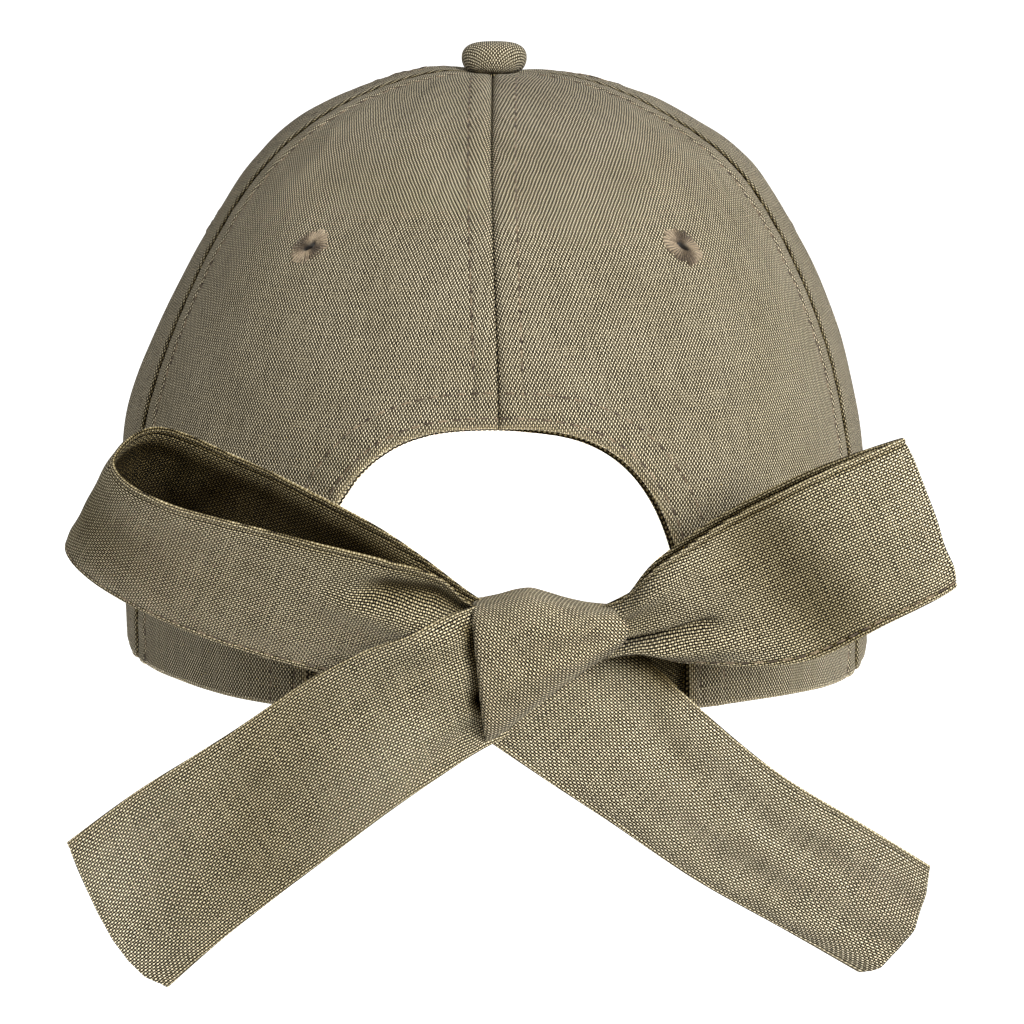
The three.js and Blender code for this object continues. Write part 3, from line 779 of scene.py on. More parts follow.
def ring_of_thread(name, around, slit_turn, threads):
    """An embroidered eyelet: a closed ring round a slit. Its radius goes from the slit's ellipse to the outer
    ellipse, and the face rises and falls once for each thread, with the thread's own length and height."""
    random = np.random.default_rng(abs(int(around)) + (7 if around < 0 else 0))
    steps = threads * STEPS_PER_THREAD
    turn = np.linspace(0, 2 * np.pi, steps, endpoint=False)
    thread = np.arange(steps) // STEPS_PER_THREAD
    reach = random.normal(1, 0.06, threads)[thread]
    high = random.normal(1, 0.16, threads)[thread]
    crest = np.abs(np.cos(0.5 * threads * turn))
    slit, rim = (1 / np.hypot(np.cos(turn) / half_long, np.sin(turn) / half_wide)
                 for half_long, half_wide in (EYELET_SLIT, EYELET_RIM))
    rim = reach * rim * (0.94 + 0.06 * crest)
    share, swell, groove = np.transpose(EYELET_FRONT)
    back_share, back_swell = np.transpose(EYELET_BACK)
    front = slit[:, None] + (rim - slit)[:, None] * share
    back = slit[:, None] * 0.4 + (rim - slit * 0.4)[:, None] * back_share
    front_lift = swell * high[:, None] - groove * (1 - crest[:, None])
    back_lift = np.broadcast_to(-CLOTH - back_swell, back.shape)
    radius = np.concatenate([front, back], axis=1)
    lift = np.concatenate([front_lift, back_lift], axis=1)
    count = radius.shape[1]
    place = np.float64(around), np.float64(EYELET_UP)
    normal = crown_normal(*place)
    level = unit(np.cross(np.array([0, 0, 1.0]), normal))
    upright = np.cross(normal, level)
    turned = turn[:, None] + np.radians(90 - slit_turn)
    points = (crown_inside(*place, 0.0) + (radius * np.cos(turned))[..., None] * level
              + (radius * np.sin(turned))[..., None] * upright + lift[..., None] * normal)
    index = np.arange(len(turn) * count).reshape(len(turn), count)
    ahead = np.roll(index, -1, axis=0)
    faces = [index, np.roll(index, -1, axis=1), np.roll(ahead, -1, axis=1), ahead]
    grain = np.stack([np.broadcast_to(turn[:, None] * 3, radius.shape), radius], axis=-1)
    # Painted shade: the slit's walls are dark, and so are the grooves between the threads
    depth = np.concatenate([[1.0, 0.9, 0.3], np.zeros(count - 5), [0.9, 1.0]])
    depth = depth[None, :] + np.where(np.arange(count) < len(share), 1.0, 0) * (1 - crest[:, None]) ** 1.5
    return build_mesh(name, points.reshape(-1, 3), np.stack(faces, axis=-1).reshape(-1, 4),
                      grain.reshape(-1, 2), -np.clip(depth, 0, 1).ravel(), finish("eyelet_thread"))


def tape_of_arch():
    """The tape behind the arch's edge: lines beside the arch at growing distance, inside the crown. It shows
    as a narrow lip inside the edge."""
    shares = np.linspace(0, 1, 90)
    offsets = np.concatenate([[-0.15, -0.05, 0.15], np.linspace(0.5, FACING_WIDTH, 14)])
    half = [np.stack(arch_line(offset, shares)) for offset in offsets]
    moved = [np.stack(arch_line(offset - 0.35 * (offset < 0.2), shares)) for offset in offsets]
    right = smooth_step(0, 0.12, shares)
    wide = [line + (other - line) * right for line, other in zip(half, moved)]
    around = np.stack([np.concatenate([-line[0][:0:-1], other[0]]) for line, other in zip(half, wide)])
    up = np.stack([np.concatenate([line[1][:0:-1], other[1]]) for line, other in zip(half, wide)])
    sink = (0.3 * bell(offsets - offsets[0], 0.3) + 0.3 * bell(offsets - offsets[-1], 0.3))[:, None]
    depth = CLOTH + 0.3
    outer = crown_inside(around, up, depth + sink)
    inner = crown_inside(around, up, depth + FACING_THICKNESS - sink)
    grain = np.stack(np.broadcast_arrays(offsets[:, None], lengths_along(outer[0])[None, :]), axis=-1)
    # Painted shade on the lip of the tape along the right-hand side of the arch
    shade = -6 * bell(offsets - offsets[0], 0.8)[:, None] * smooth_step(-2, 6, around)
    return two_sided("arch_tape", outer, inner, shell_faces(*around.shape), grain, shade.ravel(),
                     finish("crown_linen"))


def covered_button():
    """A domed button with cloth pulled over it: a profile turned about an upright axis. Its radius is a power
    of the cosine, fuller below than above, so it sits flat on the crown. Small pleats gather under its edge,
    and the cloth's threads run straight over it."""
    turn = np.linspace(0, 2 * np.pi, 96, endpoint=False)[:, None]
    angle = np.linspace(-0.5 * np.pi, 0.5 * np.pi, 40)
    radius = BUTTON_RADIUS * np.maximum(np.cos(angle), 0) ** np.where(angle < 0, *BUTTON_POWERS)
    radius[0], radius[-1] = 0, 0
    middle = BUTTON_MIDDLE * BUTTON_HEIGHT
    reaches = np.where(angle < 0, middle + 0.7, (1 - BUTTON_MIDDLE) * BUTTON_HEIGHT)
    height = middle + reaches * signed_power(np.sin(angle), 0.9)
    pleat = 1 - 0.035 * smooth_step(0.1, 0.9, -angle) * np.abs(np.sin(turn * 13))
    lumpy = 1 + 0.012 * ripple(np.cos(turn) * 0.8, np.sin(turn) * 0.8 + angle * 0.3, 3)
    reach = radius * pleat * lumpy
    edge_up = np.float64(1 - BUTTON_RADIUS / BACK_REACH / APEX_SLOPE)
    seat = crown_inside(np.float64(0), edge_up, 0.0)[2] + BUTTON_GAP
    points = np.stack(np.broadcast_arrays(
        BUTTON_SHIFT + reach * np.sin(turn), -reach * np.cos(turn), seat + height), axis=-1)
    spread = np.concatenate([[0], np.cumsum(np.hypot(np.diff(radius), np.diff(height)))])
    grain = (spread[-1] - spread)[None, :, None] * np.stack([np.sin(turn), np.cos(turn)], axis=-1)
    # Painted shade round the button's foot, where it sits on the crown; the rest of it a little paler
    shade = np.broadcast_to(0.3 - 3 * smooth_step(0.5, 1.1, -angle), reach.shape).ravel()
    return weld(build_mesh("covered_button", points.reshape(-1, 3), turned_faces(*reach.shape),
                           grain.reshape(-1, 2), shade, finish("crown_linen")))


# Peak

def peak_surface(across, forward, side):
    """A point between the rim and the outer edge, a superellipse that dips between centre and corners. Side 0
    is the top face and 1 the under face. Both thin out to a rounded outer edge, and sink at each sewn row."""
    turn = 2 * across - 1
    rim = plain_crown(180 - turn * PEAK_SIDE_ANGLE, 0.0)
    outward = unit(rim * np.array([1, 1, 0]))
    inner = rim + outward * 0.45
    corner = plain_crown(180.0 - PEAK_SIDE_ANGLE, 0.0)[1] + PEAK_SIDE_REACH
    swing = turn * np.pi / 2
    ahead = np.maximum(np.cos(swing), 0) ** (2 / PEAK_POWER)
    outer = np.stack([
        PEAK_HALF_WIDTH * signed_power(np.sin(swing), 2 / PEAK_POWER),
        corner + (FRONT_REACH + PEAK_REACH - corner) * ahead,
        -PEAK_TILT * ahead - PEAK_DROOP * np.sin(2 * swing) ** 2,
    ], axis=-1)
    place = inner + (outer - inner) * forward[..., None]
    to_edge = (1 - forward) * np.linalg.norm(outer - inner, axis=-1)
    corner_room = np.minimum(across, 1 - across) * 260
    half = PEAK_THICKNESS / 2 - 1.25 * bell(np.minimum(to_edge, corner_room), 0.9)
    for row in PEAK_ROWS:
        half = half - 0.22 * bell(to_edge - row, 0.7)
    half = half - 0.12 * (1 - smooth_step(0, 3, to_edge)) - 0.08 * ripple(across * 9, forward * 5, 21)
    place[..., 2] += PEAK_THICKNESS / 2 + np.where(side == 0, half, -half)
    return place, to_edge


def peak_piece():
    """The peak between its top and its under face, with a worn outer edge."""
    across, forward = np.broadcast_arrays(dense_ends(200, 0.4)[None, :], 1 - dense_ends(84, 0.3)[:, None])
    top, to_edge = peak_surface(across, forward, 0)
    under, _ = peak_surface(across, forward, 1)
    top, under, to_edge = top[::-1], under[::-1], to_edge[::-1]
    return two_sided("sewn_peak", top, under, shell_faces(*across.shape), top[..., :2],
                     bell(to_edge, 1.2).ravel(), finish("crown_linen"))


def peak_stitch_lines():
    """Lines on the top and the under face at each row's distance from the outer edge, where there is room."""
    lines = []
    across = np.linspace(0.012, 0.988, 500)
    for side in (0, 1):
        _, span = peak_surface(across, np.zeros_like(across), side)
        for row in PEAK_ROWS:
            room = span > row + 3
            if room.sum() < 20:
                continue
            place, _ = peak_surface(across[room], 1 - row / span[room], side)
            lines.append((place, np.tile([0, 0.12, 1.0 if side == 0 else -1.0], (len(place), 1))))
    return lines


# Ribbons

def table_at(table, shares):
    """Catmull-Rom values of a table's columns, whose rows are evenly spaced from share 0 to 1."""
    table = np.asarray(table, float)
    last = len(table) - 1
    place = np.clip(shares, 0, 1) * last
    row = np.minimum(place.astype(int), last - 1)
    t = (place - row)[:, None]
    a, b, c, d = (table[np.clip(row + shift, 0, last)] for shift in (-1, 0, 1, 2))
    return b + 0.5 * t * (c - a + t * (2 * a - 5 * b + 4 * c - d + t * (3 * (b - c) + d - a)))


def ribbon_frames(table, shares):
    """Centre, direction across, direction faced and width of a ribbon's sections."""
    step = 0.004
    places = [shares, np.minimum(shares + step, 1), np.maximum(shares - step, 0)]
    values, ahead, behind = (table_at(table, place) * (1, -1, 1, 1, 1, 1) for place in places)
    roll, lean = np.radians(values[:, 4]), np.radians(values[:, 5])
    across = np.stack([np.sin(roll) * np.cos(lean), -np.sin(lean), np.cos(roll) * np.cos(lean)], axis=-1)
    facing = unit(np.cross(ahead[:, :3] - behind[:, :3], across))
    return values[:, :3], across, facing, values[:, 3]


def crease_height(creases, along, across):
    """Height above the plain ribbon in mm: a bell beside each crease's line, which fades past its ends."""
    height = np.zeros(np.broadcast(along, across).shape)
    for from_along, from_across, to_along, to_across, spread, rise in creases:
        run, side = to_along - from_along, to_across - from_across
        long = math.hypot(run, side)
        ahead = ((along - from_along) * run + (across - from_across) * side) / long
        beside = ((across - from_across) * run - (along - from_along) * side) / long
        fade = smooth_step(-2 * spread, spread, ahead)
        fade = fade * (1 - smooth_step(long - spread, long + 2 * spread, ahead))
        height = height + rise * fade * bell(beside, spread)
    return height


def ribbon_surface(name, shares, across_mm, side):
    """A ribbon's face at shares of its table and places across its flat width in mm. Its height has the
    creases, pleats where the ribbon is drawn in, and a slack unevenness. The section thins towards its
    pressed edges, which are rounded: half thickness times the root of one less the square of the nearness
    to the edge. The last quarter is stretched along the ribbon by the tip's mm."""
    table, creases, _, seed, _, _, tip = RIBBONS[name]
    centre, across, facing, width = ribbon_frames(table, shares)
    along = lengths_along(centre)[:, None]
    flat = across_mm[None, :]
    drawn = np.clip(1 - width / RIBBON_FLAT, 0, 0.8)[:, None]
    height = crease_height(creases, along, flat)
    height = height + PLEAT_HEIGHT * drawn * np.cos(2 * np.pi * flat / PLEAT_PITCH + 0.8)
    to_edge = RIBBON_FLAT / 2 - np.abs(flat)
    slack = sum(high * ripple(along / long, flat / wide, seed + index)
                for index, (high, long, wide) in enumerate(RIBBON_SLACK))
    height = height + slack * smooth_step(-2, 6, to_edge)
    near = np.clip(1 - to_edge / EDGE_ROUNDING, 0, 1)
    half = RIBBON / 2 * (0.55 + 0.45 * smooth_step(0, 5, to_edge)) * (0.12 + 0.88 * np.sqrt(1 - near ** 2))
    half = half - 0.22 * bell(to_edge - HEM, 0.32)
    spread = (flat / RIBBON_FLAT) * width[:, None]
    ahead = unit(np.cross(across, facing))
    past = np.interp(0.5 - flat / RIBBON_FLAT, *np.transpose(tip)) * smooth_step(0.75, 1.0, shares)[:, None]
    place = (centre[:, None] + across[:, None] * spread[..., None] + ahead[:, None] * past[..., None]
             + facing[:, None] * (height + side * half)[..., None])
    return place, facing, along


def ribbon_piece(name, stations):
    """A closed flat tube and its length in mm. The front face goes from one edge to the other and the back
    face on the way back, and a row of faces closes each end."""
    table, _, painted_light, _, hem, inside, _ = RIBBONS[name]
    shares = np.linspace(0, 1, stations)
    across_mm = RIBBON_FLAT * (dense_ends(60, 0.85) - 0.5)
    front, _, along = ribbon_surface(name, shares, across_mm, 1)
    back, _, _ = ribbon_surface(name, shares, across_mm, -1)
    section = np.concatenate([front, back[:, ::-1]], axis=1)
    rings, around = section.shape[:2]
    start = np.arange(around // 2 - 1)
    cap = np.stack([start, around - 1 - start, around - 2 - start, start + 1], axis=1)
    far = cap[:, ::-1] + (rings - 1) * around
    faces = np.concatenate([part[:, ::-1] for part in (tube_faces(rings, around), cap, far)])
    flat = np.concatenate([across_mm, across_mm[::-1]])
    drawn_in = 0.3 + 0.7 * ribbon_frames(table, shares)[3][:, None] / RIBBON_FLAT
    grain = np.stack(np.broadcast_arrays(flat[None, :] * drawn_in, along), axis=-1).reshape(-1, 2)
    to_edge = RIBBON_FLAT / 2 - np.abs(across_mm)
    # The ribbon's painted light and shade, with painted shade in the groove of the sewn line by each edge
    tone = hem * bell(to_edge - HEM, 0.35) + crease_height(painted_light, along, across_mm[None, :])
    open_top = 1 - 0.4 * smooth_step(10, 15.5, across_mm)
    # Painted shade on a loop's inner face, less of it towards the open top
    front_shade, back_shade = (tone + dark * open_top for dark in inside)
    shade = np.clip(np.concatenate([front_shade, back_shade[:, ::-1]], axis=1), *RIBBON_SHADES).ravel()
    pressed = np.broadcast_to(bell(np.concatenate([to_edge, to_edge[::-1]]), 0.8), (rings, around)).ravel()
    piece = build_mesh(name, section.reshape(-1, 3), faces, grain, shade, finish("bow_linen"), pressed)
    return piece, float(along[-1, 0])


def pair_of_ribbons(kind, node, stations):
    """Makes the left and the right ribbon of a kind. Gives each one with its flat size in metres."""
    for hand in ("left", "right"):
        piece, length = ribbon_piece(f"{kind}_{hand}", stations)
        finish_piece(piece, [f"{node}_{hand}"])
        yield piece, (RIBBON_FLAT * MM, length * MM)


def ribbon_stitch_line(name, face, start, end):
    """A row of stitches along the sewn line by the lower edge of a ribbon, on one face."""
    across_mm = np.array([HEM - RIBBON_FLAT / 2])
    whole = np.linspace(0, 1, 1200)
    place, facing, _ = ribbon_surface(name, whole, across_mm, face)
    inside = (whole >= start) & (whole <= end)
    line = resample(np.concatenate([place[:, 0], facing * face], axis=1)[inside], np.linspace(0, 1, 300))
    return line[:, :3], line[:, 3:]


# Knot

def knot_piece():
    """A wrap round the bow: superellipse sections along a slanted line. Folds fan out from its narrow end,
    and a rolled hem follows its lower edge. The cloth's threads run aslant, and meet inside."""
    table = np.asarray(KNOT_SECTIONS, float)
    travelled = lengths_along(table[:, :3])
    places = np.interp(np.linspace(0, 1, 130) * travelled[-1], travelled, np.linspace(0, 1, len(table)))
    out, low, high, deep = (column[:, None] for column in table_at(table, places).T)
    angle = np.linspace(0, 2 * np.pi, 150, endpoint=False)[None, :]
    middle = (high + low) / 2
    up = middle + (high - low) / 2 * signed_power(np.sin(angle), 2 / KNOT_POWER)
    back = KNOT_BACK + deep / 2 * signed_power(np.cos(angle), 2 / KNOT_POWER)
    run = 29.5 - out
    fan = np.degrees(np.arctan2(up - 21.0, run))
    fade = smooth_step(3.0, 12.0, run) * (1 - smooth_step(24, 34, run))
    folds = sum(rise * bell(fan - place, spread) for place, spread, rise in KNOT_FOLDS)
    hem = 0.2 * (1 - smooth_step(2.2, 3.4, up - low)) * smooth_step(-1.5, 3, out)
    front = smooth_step(0.0, 0.5, np.cos(angle))
    back = back + front * (folds * fade * 1.2 + hem + 0.18 * ripple(out / 9, up / 9, 31))
    points = np.stack([out - KNOT_SLANT * (up - KNOT_MIDDLE), -back, up], axis=-1)
    rings, around = up.shape
    start = np.arange(1, around // 2)
    cap = np.stack([start, start + 1, (around - start - 1) % around, around - start], axis=1)
    faces = np.concatenate([tube_faces(rings, around), cap[:, ::-1], cap + (rings - 1) * around])
    girth = np.hypot(np.diff(up, axis=1, prepend=up[:, -1:]), np.diff(back, axis=1, prepend=back[:, -1:]))
    girth = np.roll(np.cumsum(np.roll(girth, around // 2, axis=1), axis=1), -(around // 2), axis=1)
    girth = middle + girth - girth[:, :1]
    lean = np.radians(34)
    grain = np.stack([
        out * np.cos(lean) + girth * np.sin(lean),
        girth * np.cos(lean) - out * np.sin(lean),
    ], axis=-1)
    # Painted shade in a line by the knot's left edge, where the tail passes under it, and the whole knot a
    # little darker
    shade = np.broadcast_to(-1.0 * bell(out + 3.6, 0.3) - 0.4, up.shape).ravel()
    return build_mesh("knot_wrap", points.reshape(-1, 3), faces, grain.reshape(-1, 2), shade,
                      finish("bow_linen"))


# Materials

def linear(colour):
    """Linear red, green and blue of an sRGB hex colour such as '8f836a', with alpha 1."""
    parts = [int(colour[start:start + 2], 16) / 255 for start in (0, 2, 4)]
    return [part / 12.92 if part <= 0.04045 else ((part + 0.055) / 1.055) ** 2.4 for part in parts] + [1]


def add_node(tree, kind, links=None, **settings):
    """Adds a node. Settings are its properties, and links go from an input's name or number to a value, or to
    another node's output."""
    node = tree.nodes.new(kind)
    for name, value in settings.items():
        setattr(node, name, value)
    for name, value in (links or {}).items():
        if isinstance(value, bpy.types.NodeSocket):
            tree.links.new(value, node.inputs[name])
        else:
            node.inputs[name].default_value = value
    return node


def set_ramp(node, stops):
    """Places the colours of a colour ramp: pairs of position and hex colour."""
    ramp = node.color_ramp
    while len(ramp.elements) < len(stops):
        ramp.elements.new(1)
    for element, (position, colour) in zip(ramp.elements, stops):
        element.position = position
        element.color = linear(colour)


def calculate(tree, operation, *values):
    """The result of a calculation with numbers, whose node takes the values in order."""
    return add_node(tree, "ShaderNodeMath", dict(enumerate(values)), operation=operation).outputs[0]


def combine(tree, operation, *values):
    """The same for vectors. A single number is the factor that scales one."""
    links = {"Scale" if isinstance(value, float) else index: value for index, value in enumerate(values)}
    return add_node(tree, "ShaderNodeVectorMath", links, operation=operation).outputs[0]


def stored(tree, key):
    """A value that each point of the mesh holds."""
    return add_node(tree, "ShaderNodeAttribute", attribute_name=key).outputs["Fac"]


def noise(tree, place, scale, detail, roughness=0.5):
    """Soft noise, as a number and as three of them."""
    links = {"Vector": place, "Scale": scale, "Detail": detail, "Roughness": roughness}
    return add_node(tree, "ShaderNodeTexNoise", links).outputs


def cloth_material(name):
    """A new material, its empty tree of nodes and the place on the flat cloth in metres."""
    material = bpy.data.materials.new(name)
    material.use_nodes = True
    tree = material.node_tree
    tree.nodes.clear()
    return material, tree, add_node(tree, "ShaderNodeUVMap", uv_map="grain").outputs[0]


def add_surface(tree, colour, bump, height, **inputs):
    """Ends a material with its shader: bump is a strength and a distance in mm."""
    strength, distance = bump
    relief = {"Strength": strength, "Distance": distance * MM, "Height": height}
    links = {key.replace("_", " "): value for key, value in inputs.items()}
    links.update({"Base Color": colour, "Normal": add_node(tree, "ShaderNodeBump", relief).outputs[0]})
    shader = add_node(tree, "ShaderNodeBsdfPrincipled", links)
    add_node(tree, "ShaderNodeOutputMaterial", {"Surface": shader.outputs[0]})


def woven_linen(name, yarns, weft_share, stops):
    """Plain-woven linen. Warp and weft pass over and under in turn: with a and b the places in half turns,
    one for each yarn, the warp stands at 0.6|sin a| + 0.4 sin a sin b and the weft at 0.6|sin b| - 0.4 sin a
    sin b, and the higher shows. The weft is the darker by `weft_share`. Long streaks along each yarn make it
    thick and thin, as flax is spun. The stops are heights of the weave with their colours."""
    material, tree, place = cloth_material(name)
    counted = combine(tree, "MULTIPLY", place, (1 / (yarns[0] * MM), 1 / (yarns[1] * MM), 1))

    # Yarns wander from side to side by up to a third of their spacing
    wander = combine(tree, "SUBTRACT", noise(tree, counted, 0.09, 2.0)["Color"], (0.5, 0.5, 0.5))
    bent = combine(tree, "ADD", counted, combine(tree, "SCALE", wander, 1.2))
    waves = combine(tree, "SINE", combine(tree, "SCALE", bent, math.pi))
    sine_a, sine_b, _ = add_node(tree, "ShaderNodeSeparateXYZ", {0: waves}).outputs
    both = calculate(tree, "MULTIPLY", sine_a, sine_b)
    warp, weft = (
        calculate(tree, "MULTIPLY_ADD", both, sign,
                  calculate(tree, "MULTIPLY", calculate(tree, "ABSOLUTE", sine), 0.6))
        for sine, sign in ((sine_a, 0.4), (sine_b, -0.4)))

    # Slubs: each yarn's tone changes quickly across it and slowly along it
    warp_tone, weft_tone = (
        noise(tree, combine(tree, "MULTIPLY", bent, stretch), 1.0, 3.0, 0.6)[0]
        for stretch in ((0.9, 0.045, 1), (0.045, 0.9, 1)))
    warp_shows = calculate(tree, "GREATER_THAN", warp, weft)
    tone = add_node(tree, "ShaderNodeMix", {"Factor": warp_shows, 2: weft_tone, 3: warp_tone}).outputs[0]
    height = calculate(tree, "MULTIPLY", calculate(tree, "MAXIMUM", warp, weft),
                       calculate(tree, "MULTIPLY_ADD", tone, 0.6, 0.7))
    share = calculate(tree, "MULTIPLY_ADD", warp_shows, 1 - weft_share, weft_share)
    level = calculate(tree, "MULTIPLY", height, share)

    # A pressed edge shows less of the weave
    pressed = calculate(tree, "MULTIPLY", stored(tree, "pressed"), 0.6)
    level = add_node(tree, "ShaderNodeMix", {"Factor": pressed, 2: level, 3: stops[2][0]}).outputs[0]
    # The ramp paints shade into the gaps between the yarns and light onto their tops
    ramp = add_node(tree, "ShaderNodeValToRGB", {0: level})
    set_ramp(ramp, stops)

    # Washed patches some centimetres wide, wear along the peak's edge, and painted light and shade: painted
    # shade in seams, folds, slits and under parts, painted light on the ribbons. The painted shade is warmer,
    # as light that reaches shade has bounced from the cloth
    patches = {0: noise(tree, place, 38.0, 3.0)[0], 1: 0.3, 2: 0.7, 3: 0.92, 4: 1.08}
    patches = add_node(tree, "ShaderNodeMapRange", patches).outputs[0]
    painted_light_wear_and_patches = calculate(tree, "MULTIPLY_ADD", stored(tree, "shade"), 0.14, patches)
    green, blue = (calculate(tree, "POWER", painted_light_wear_and_patches, power) for power in (1.08, 1.35))
    warm = add_node(tree, "ShaderNodeCombineXYZ", {0: painted_light_wear_and_patches, 1: green, 2: blue}).outputs[0]
    colour = combine(tree, "MULTIPLY", ramp.outputs[0], warm)

    # The inside of the front is faced with pale cloth, whose weave hardly shows
    colour = add_node(tree, "ShaderNodeMix", {"Factor": stored(tree, "pale"), 6: colour, 7: linear("f2efe8")},
                      data_type="RGBA").outputs[2]
    # Painted shade dims the cloth's sheen and specular gleam as well
    add_surface(tree, colour, (0.7, 0.25), height, Roughness=0.9, Sheen_Roughness=0.5,
                Specular_IOR_Level=calculate(tree, "MULTIPLY", painted_light_wear_and_patches, 0.16),
                Sheen_Weight=calculate(tree, "MULTIPLY", painted_light_wear_and_patches, 0.06))
    return material


def spun_thread(name, shade, body, shine, per_mm):
    """Twisted sewing thread: bands slant across it, one for each turn of its plies, with stray fibres."""
    material, tree, place = cloth_material(name)
    # The bands paint shade between the plies and a highlight on their crests
    bands = add_node(tree, "ShaderNodeTexWave", {
        "Vector": place, "Scale": per_mm / MM / 20, "Distortion": 1.5, "Detail": 1.0,
    }, wave_type="BANDS", bands_direction="DIAGONAL").outputs[1]
    level = calculate(tree, "MULTIPLY_ADD", bands, 0.5, noise(tree, place, 2500.0, 2.0)[0])
    ramp = add_node(tree, "ShaderNodeValToRGB", {0: level})
    set_ramp(ramp, ((0.3, shade), (0.7, body), (1.0, shine)))
    # Painted shade in an eyelet's slit and in the grooves between its threads
    painted_slit_and_groove_shade = calculate(tree, "MULTIPLY_ADD", stored(tree, "shade"), 0.95, 1.0)
    colour = add_node(tree, "ShaderNodeVectorMath", {0: ramp.outputs[0], "Scale": painted_slit_and_groove_shade},
                      operation="SCALE")
    add_surface(tree, colour.outputs[0], (0.4, 0.1), level, Roughness=0.65, Specular_IOR_Level=0.4,
                Sheen_Weight=0.1)
    return material


def painted_studio(name, settings):
    """Matt white studio paint, evenly bright."""
    material = bpy.data.materials.new(name)
    material.use_nodes = True
    shader = material.node_tree.nodes["Principled BSDF"]
    shader.inputs["Base Color"].default_value = (0.85, 0.85, 0.85, 1)
    shader.inputs["Roughness"].default_value = 1
    shader.inputs["Emission Color"].default_value = (1, 1, 1, 1)
    shader.inputs["Emission Strength"].default_value = settings.floor_glow
    return material


def finish(slot):
    """The material of a finish, made when it is first asked for."""
    name, make, *values = FINISHES[slot]
    return bpy.data.materials.get(name) or make(name, *values)


# Washed medium-weight linen for the crown. The bow's is the same cloth but pressed, so a little browner
FINISHES = {
    "crown_linen": ("woven_linen_crown", woven_linen, CROWN_YARNS, 0.55, (
        (0.26, "030201"), (0.45, "221b10"), (0.61, "b9aa84"), (0.86, "fdf0d0"))),
    "bow_linen": ("woven_linen_bow", woven_linen, BOW_YARNS, 0.72, (
        (0.4, "030201"), (0.53, "1c150c"), (0.64, "b9aa82"), (0.8, "faedcb"))),
    "seam_thread": ("spun_polyester_thread", spun_thread, "2a2118", "5e4f3d", "8a785f", 2.2),
    "eyelet_thread": ("rayon_embroidery_thread", spun_thread, "3f342a", "7a6a55", "ae9c81", 1.4),
}


# Settings that a user would change

def whole(name, description, default, low, high):
    return IntProperty(name=name, description=description, default=default, min=low, max=high)


def measure(name, description, default, low, high):
    return FloatProperty(name=name, description=description, default=default, min=low, max=high)


class CapCrownSettings(bpy.types.PropertyGroup):
    rows: whole("Rows", "Grid rows of a side or front panel", 106, 20, 200)
    columns: whole("Columns", "Grid columns of a side or front panel", 84, 20, 200)
    back_rows: whole("Back Rows", "Grid rows of a back panel, from its top to the rim", 250, 40, 300)
    back_columns: whole("Back Columns", "Grid columns of a back panel, from arch to seam", 140, 30, 160)


class CapThreadSettings(bpy.types.PropertyGroup):
    pitch: measure("Pitch", "Distance from stitch to stitch in mm", 2.7, 1, 6)
    length: measure("Length", "Length of one stitch in mm", 2.1, 0.5, 5)
    radius: measure("Radius", "Half the thread's thickness in mm", 0.2, 0.05, 0.6)
    threads: whole("Eyelet Threads", "Threads round one eyelet", 34, 16, 80)


class CapBowSettings(bpy.types.PropertyGroup):
    loop_stations: whole("Loop Stations", "Sections along a loop", 280, 60, 800)
    tail_stations: whole("Tail Stations", "Sections along a tail", 176, 40, 600)


class CapStageSettings(bpy.types.PropertyGroup):
    floor_glow: measure("Floor Glow", "Brightness of the white floor", 1.0, 0, 3)
    sky: measure("Sky", "Strength of the soft light from all sides", 0.4, 0, 3)
    key: measure("Key", "Power of the key light in watts", 39, 0, 500)
    fill: measure("Fill", "Power of the fill light in watts", 7, 0, 500)
    bounce: measure("Bounce", "Power of the light under the cap in watts", 2.0, 0, 100)
    sky_colour: FloatVectorProperty(name="Sky Colour", description="Colour of the soft light",
                                    subtype="COLOR", default=(1.0, 0.985, 0.96), min=0, max=1)


# Operators

class CAP_OT_panels(bpy.types.Operator):
    """Makes the six sewn panels of the crown"""
    bl_idname = "cap.panels"
    bl_label = "Crown Panels"

    def execute(self, context):
        settings = context.scene.cap_crown
        for hand, sign in (("left", -1), ("right", 1)):
            for part, low, high in PANELS:
                start, end = (low, high) if sign > 0 else (-high, -low)
                if part == "back":
                    around, up = back_panel_grid(sign, settings.back_rows, settings.back_columns)
                else:
                    around, up = side_panel_grid(start, end, settings.rows, settings.columns)
                crown_panel(f"{part}_{hand}", around, up, (start + end) / 2)
        return {"FINISHED"}


class CAP_OT_eyelets(bpy.types.Operator):
    """Makes the six embroidered eyelets"""
    bl_idname = "cap.eyelets"
    bl_label = "Eyelets"

    def execute(self, context):
        for name, (around, slit_turn) in EYELETS.items():
            piece = ring_of_thread(f"thread_ring_{name}", around, slit_turn, context.scene.cap_thread.threads)
            finish_piece(piece, [f"eyelet_{name}"])
        return {"FINISHED"}


class CAP_OT_button(bpy.types.Operator):
    """Makes the covered button on the top"""
    bl_idname = "cap.button"
    bl_label = "Covered Button"

    def execute(self, context):
        finish_piece(covered_button(), ["top_button"])
        return {"FINISHED"}


class CAP_OT_tape(bpy.types.Operator):
    """Makes the tape behind the edge of the arch"""
    bl_idname = "cap.tape"
    bl_label = "Arch Tape"

    def execute(self, context):
        finish_piece(tape_of_arch(), ["arch_facing"])
        return {"FINISHED"}


class CAP_OT_peak(bpy.types.Operator):
    """Makes the sewn peak with its rows of stitching"""
    bl_idname = "cap.peak"
    bl_label = "Peak"

    def execute(self, context):
        finish_piece(peak_piece(), ["peak"])
        stitches("peak_stitching", peak_stitch_lines(), context.scene.cap_thread)
        return {"FINISHED"}


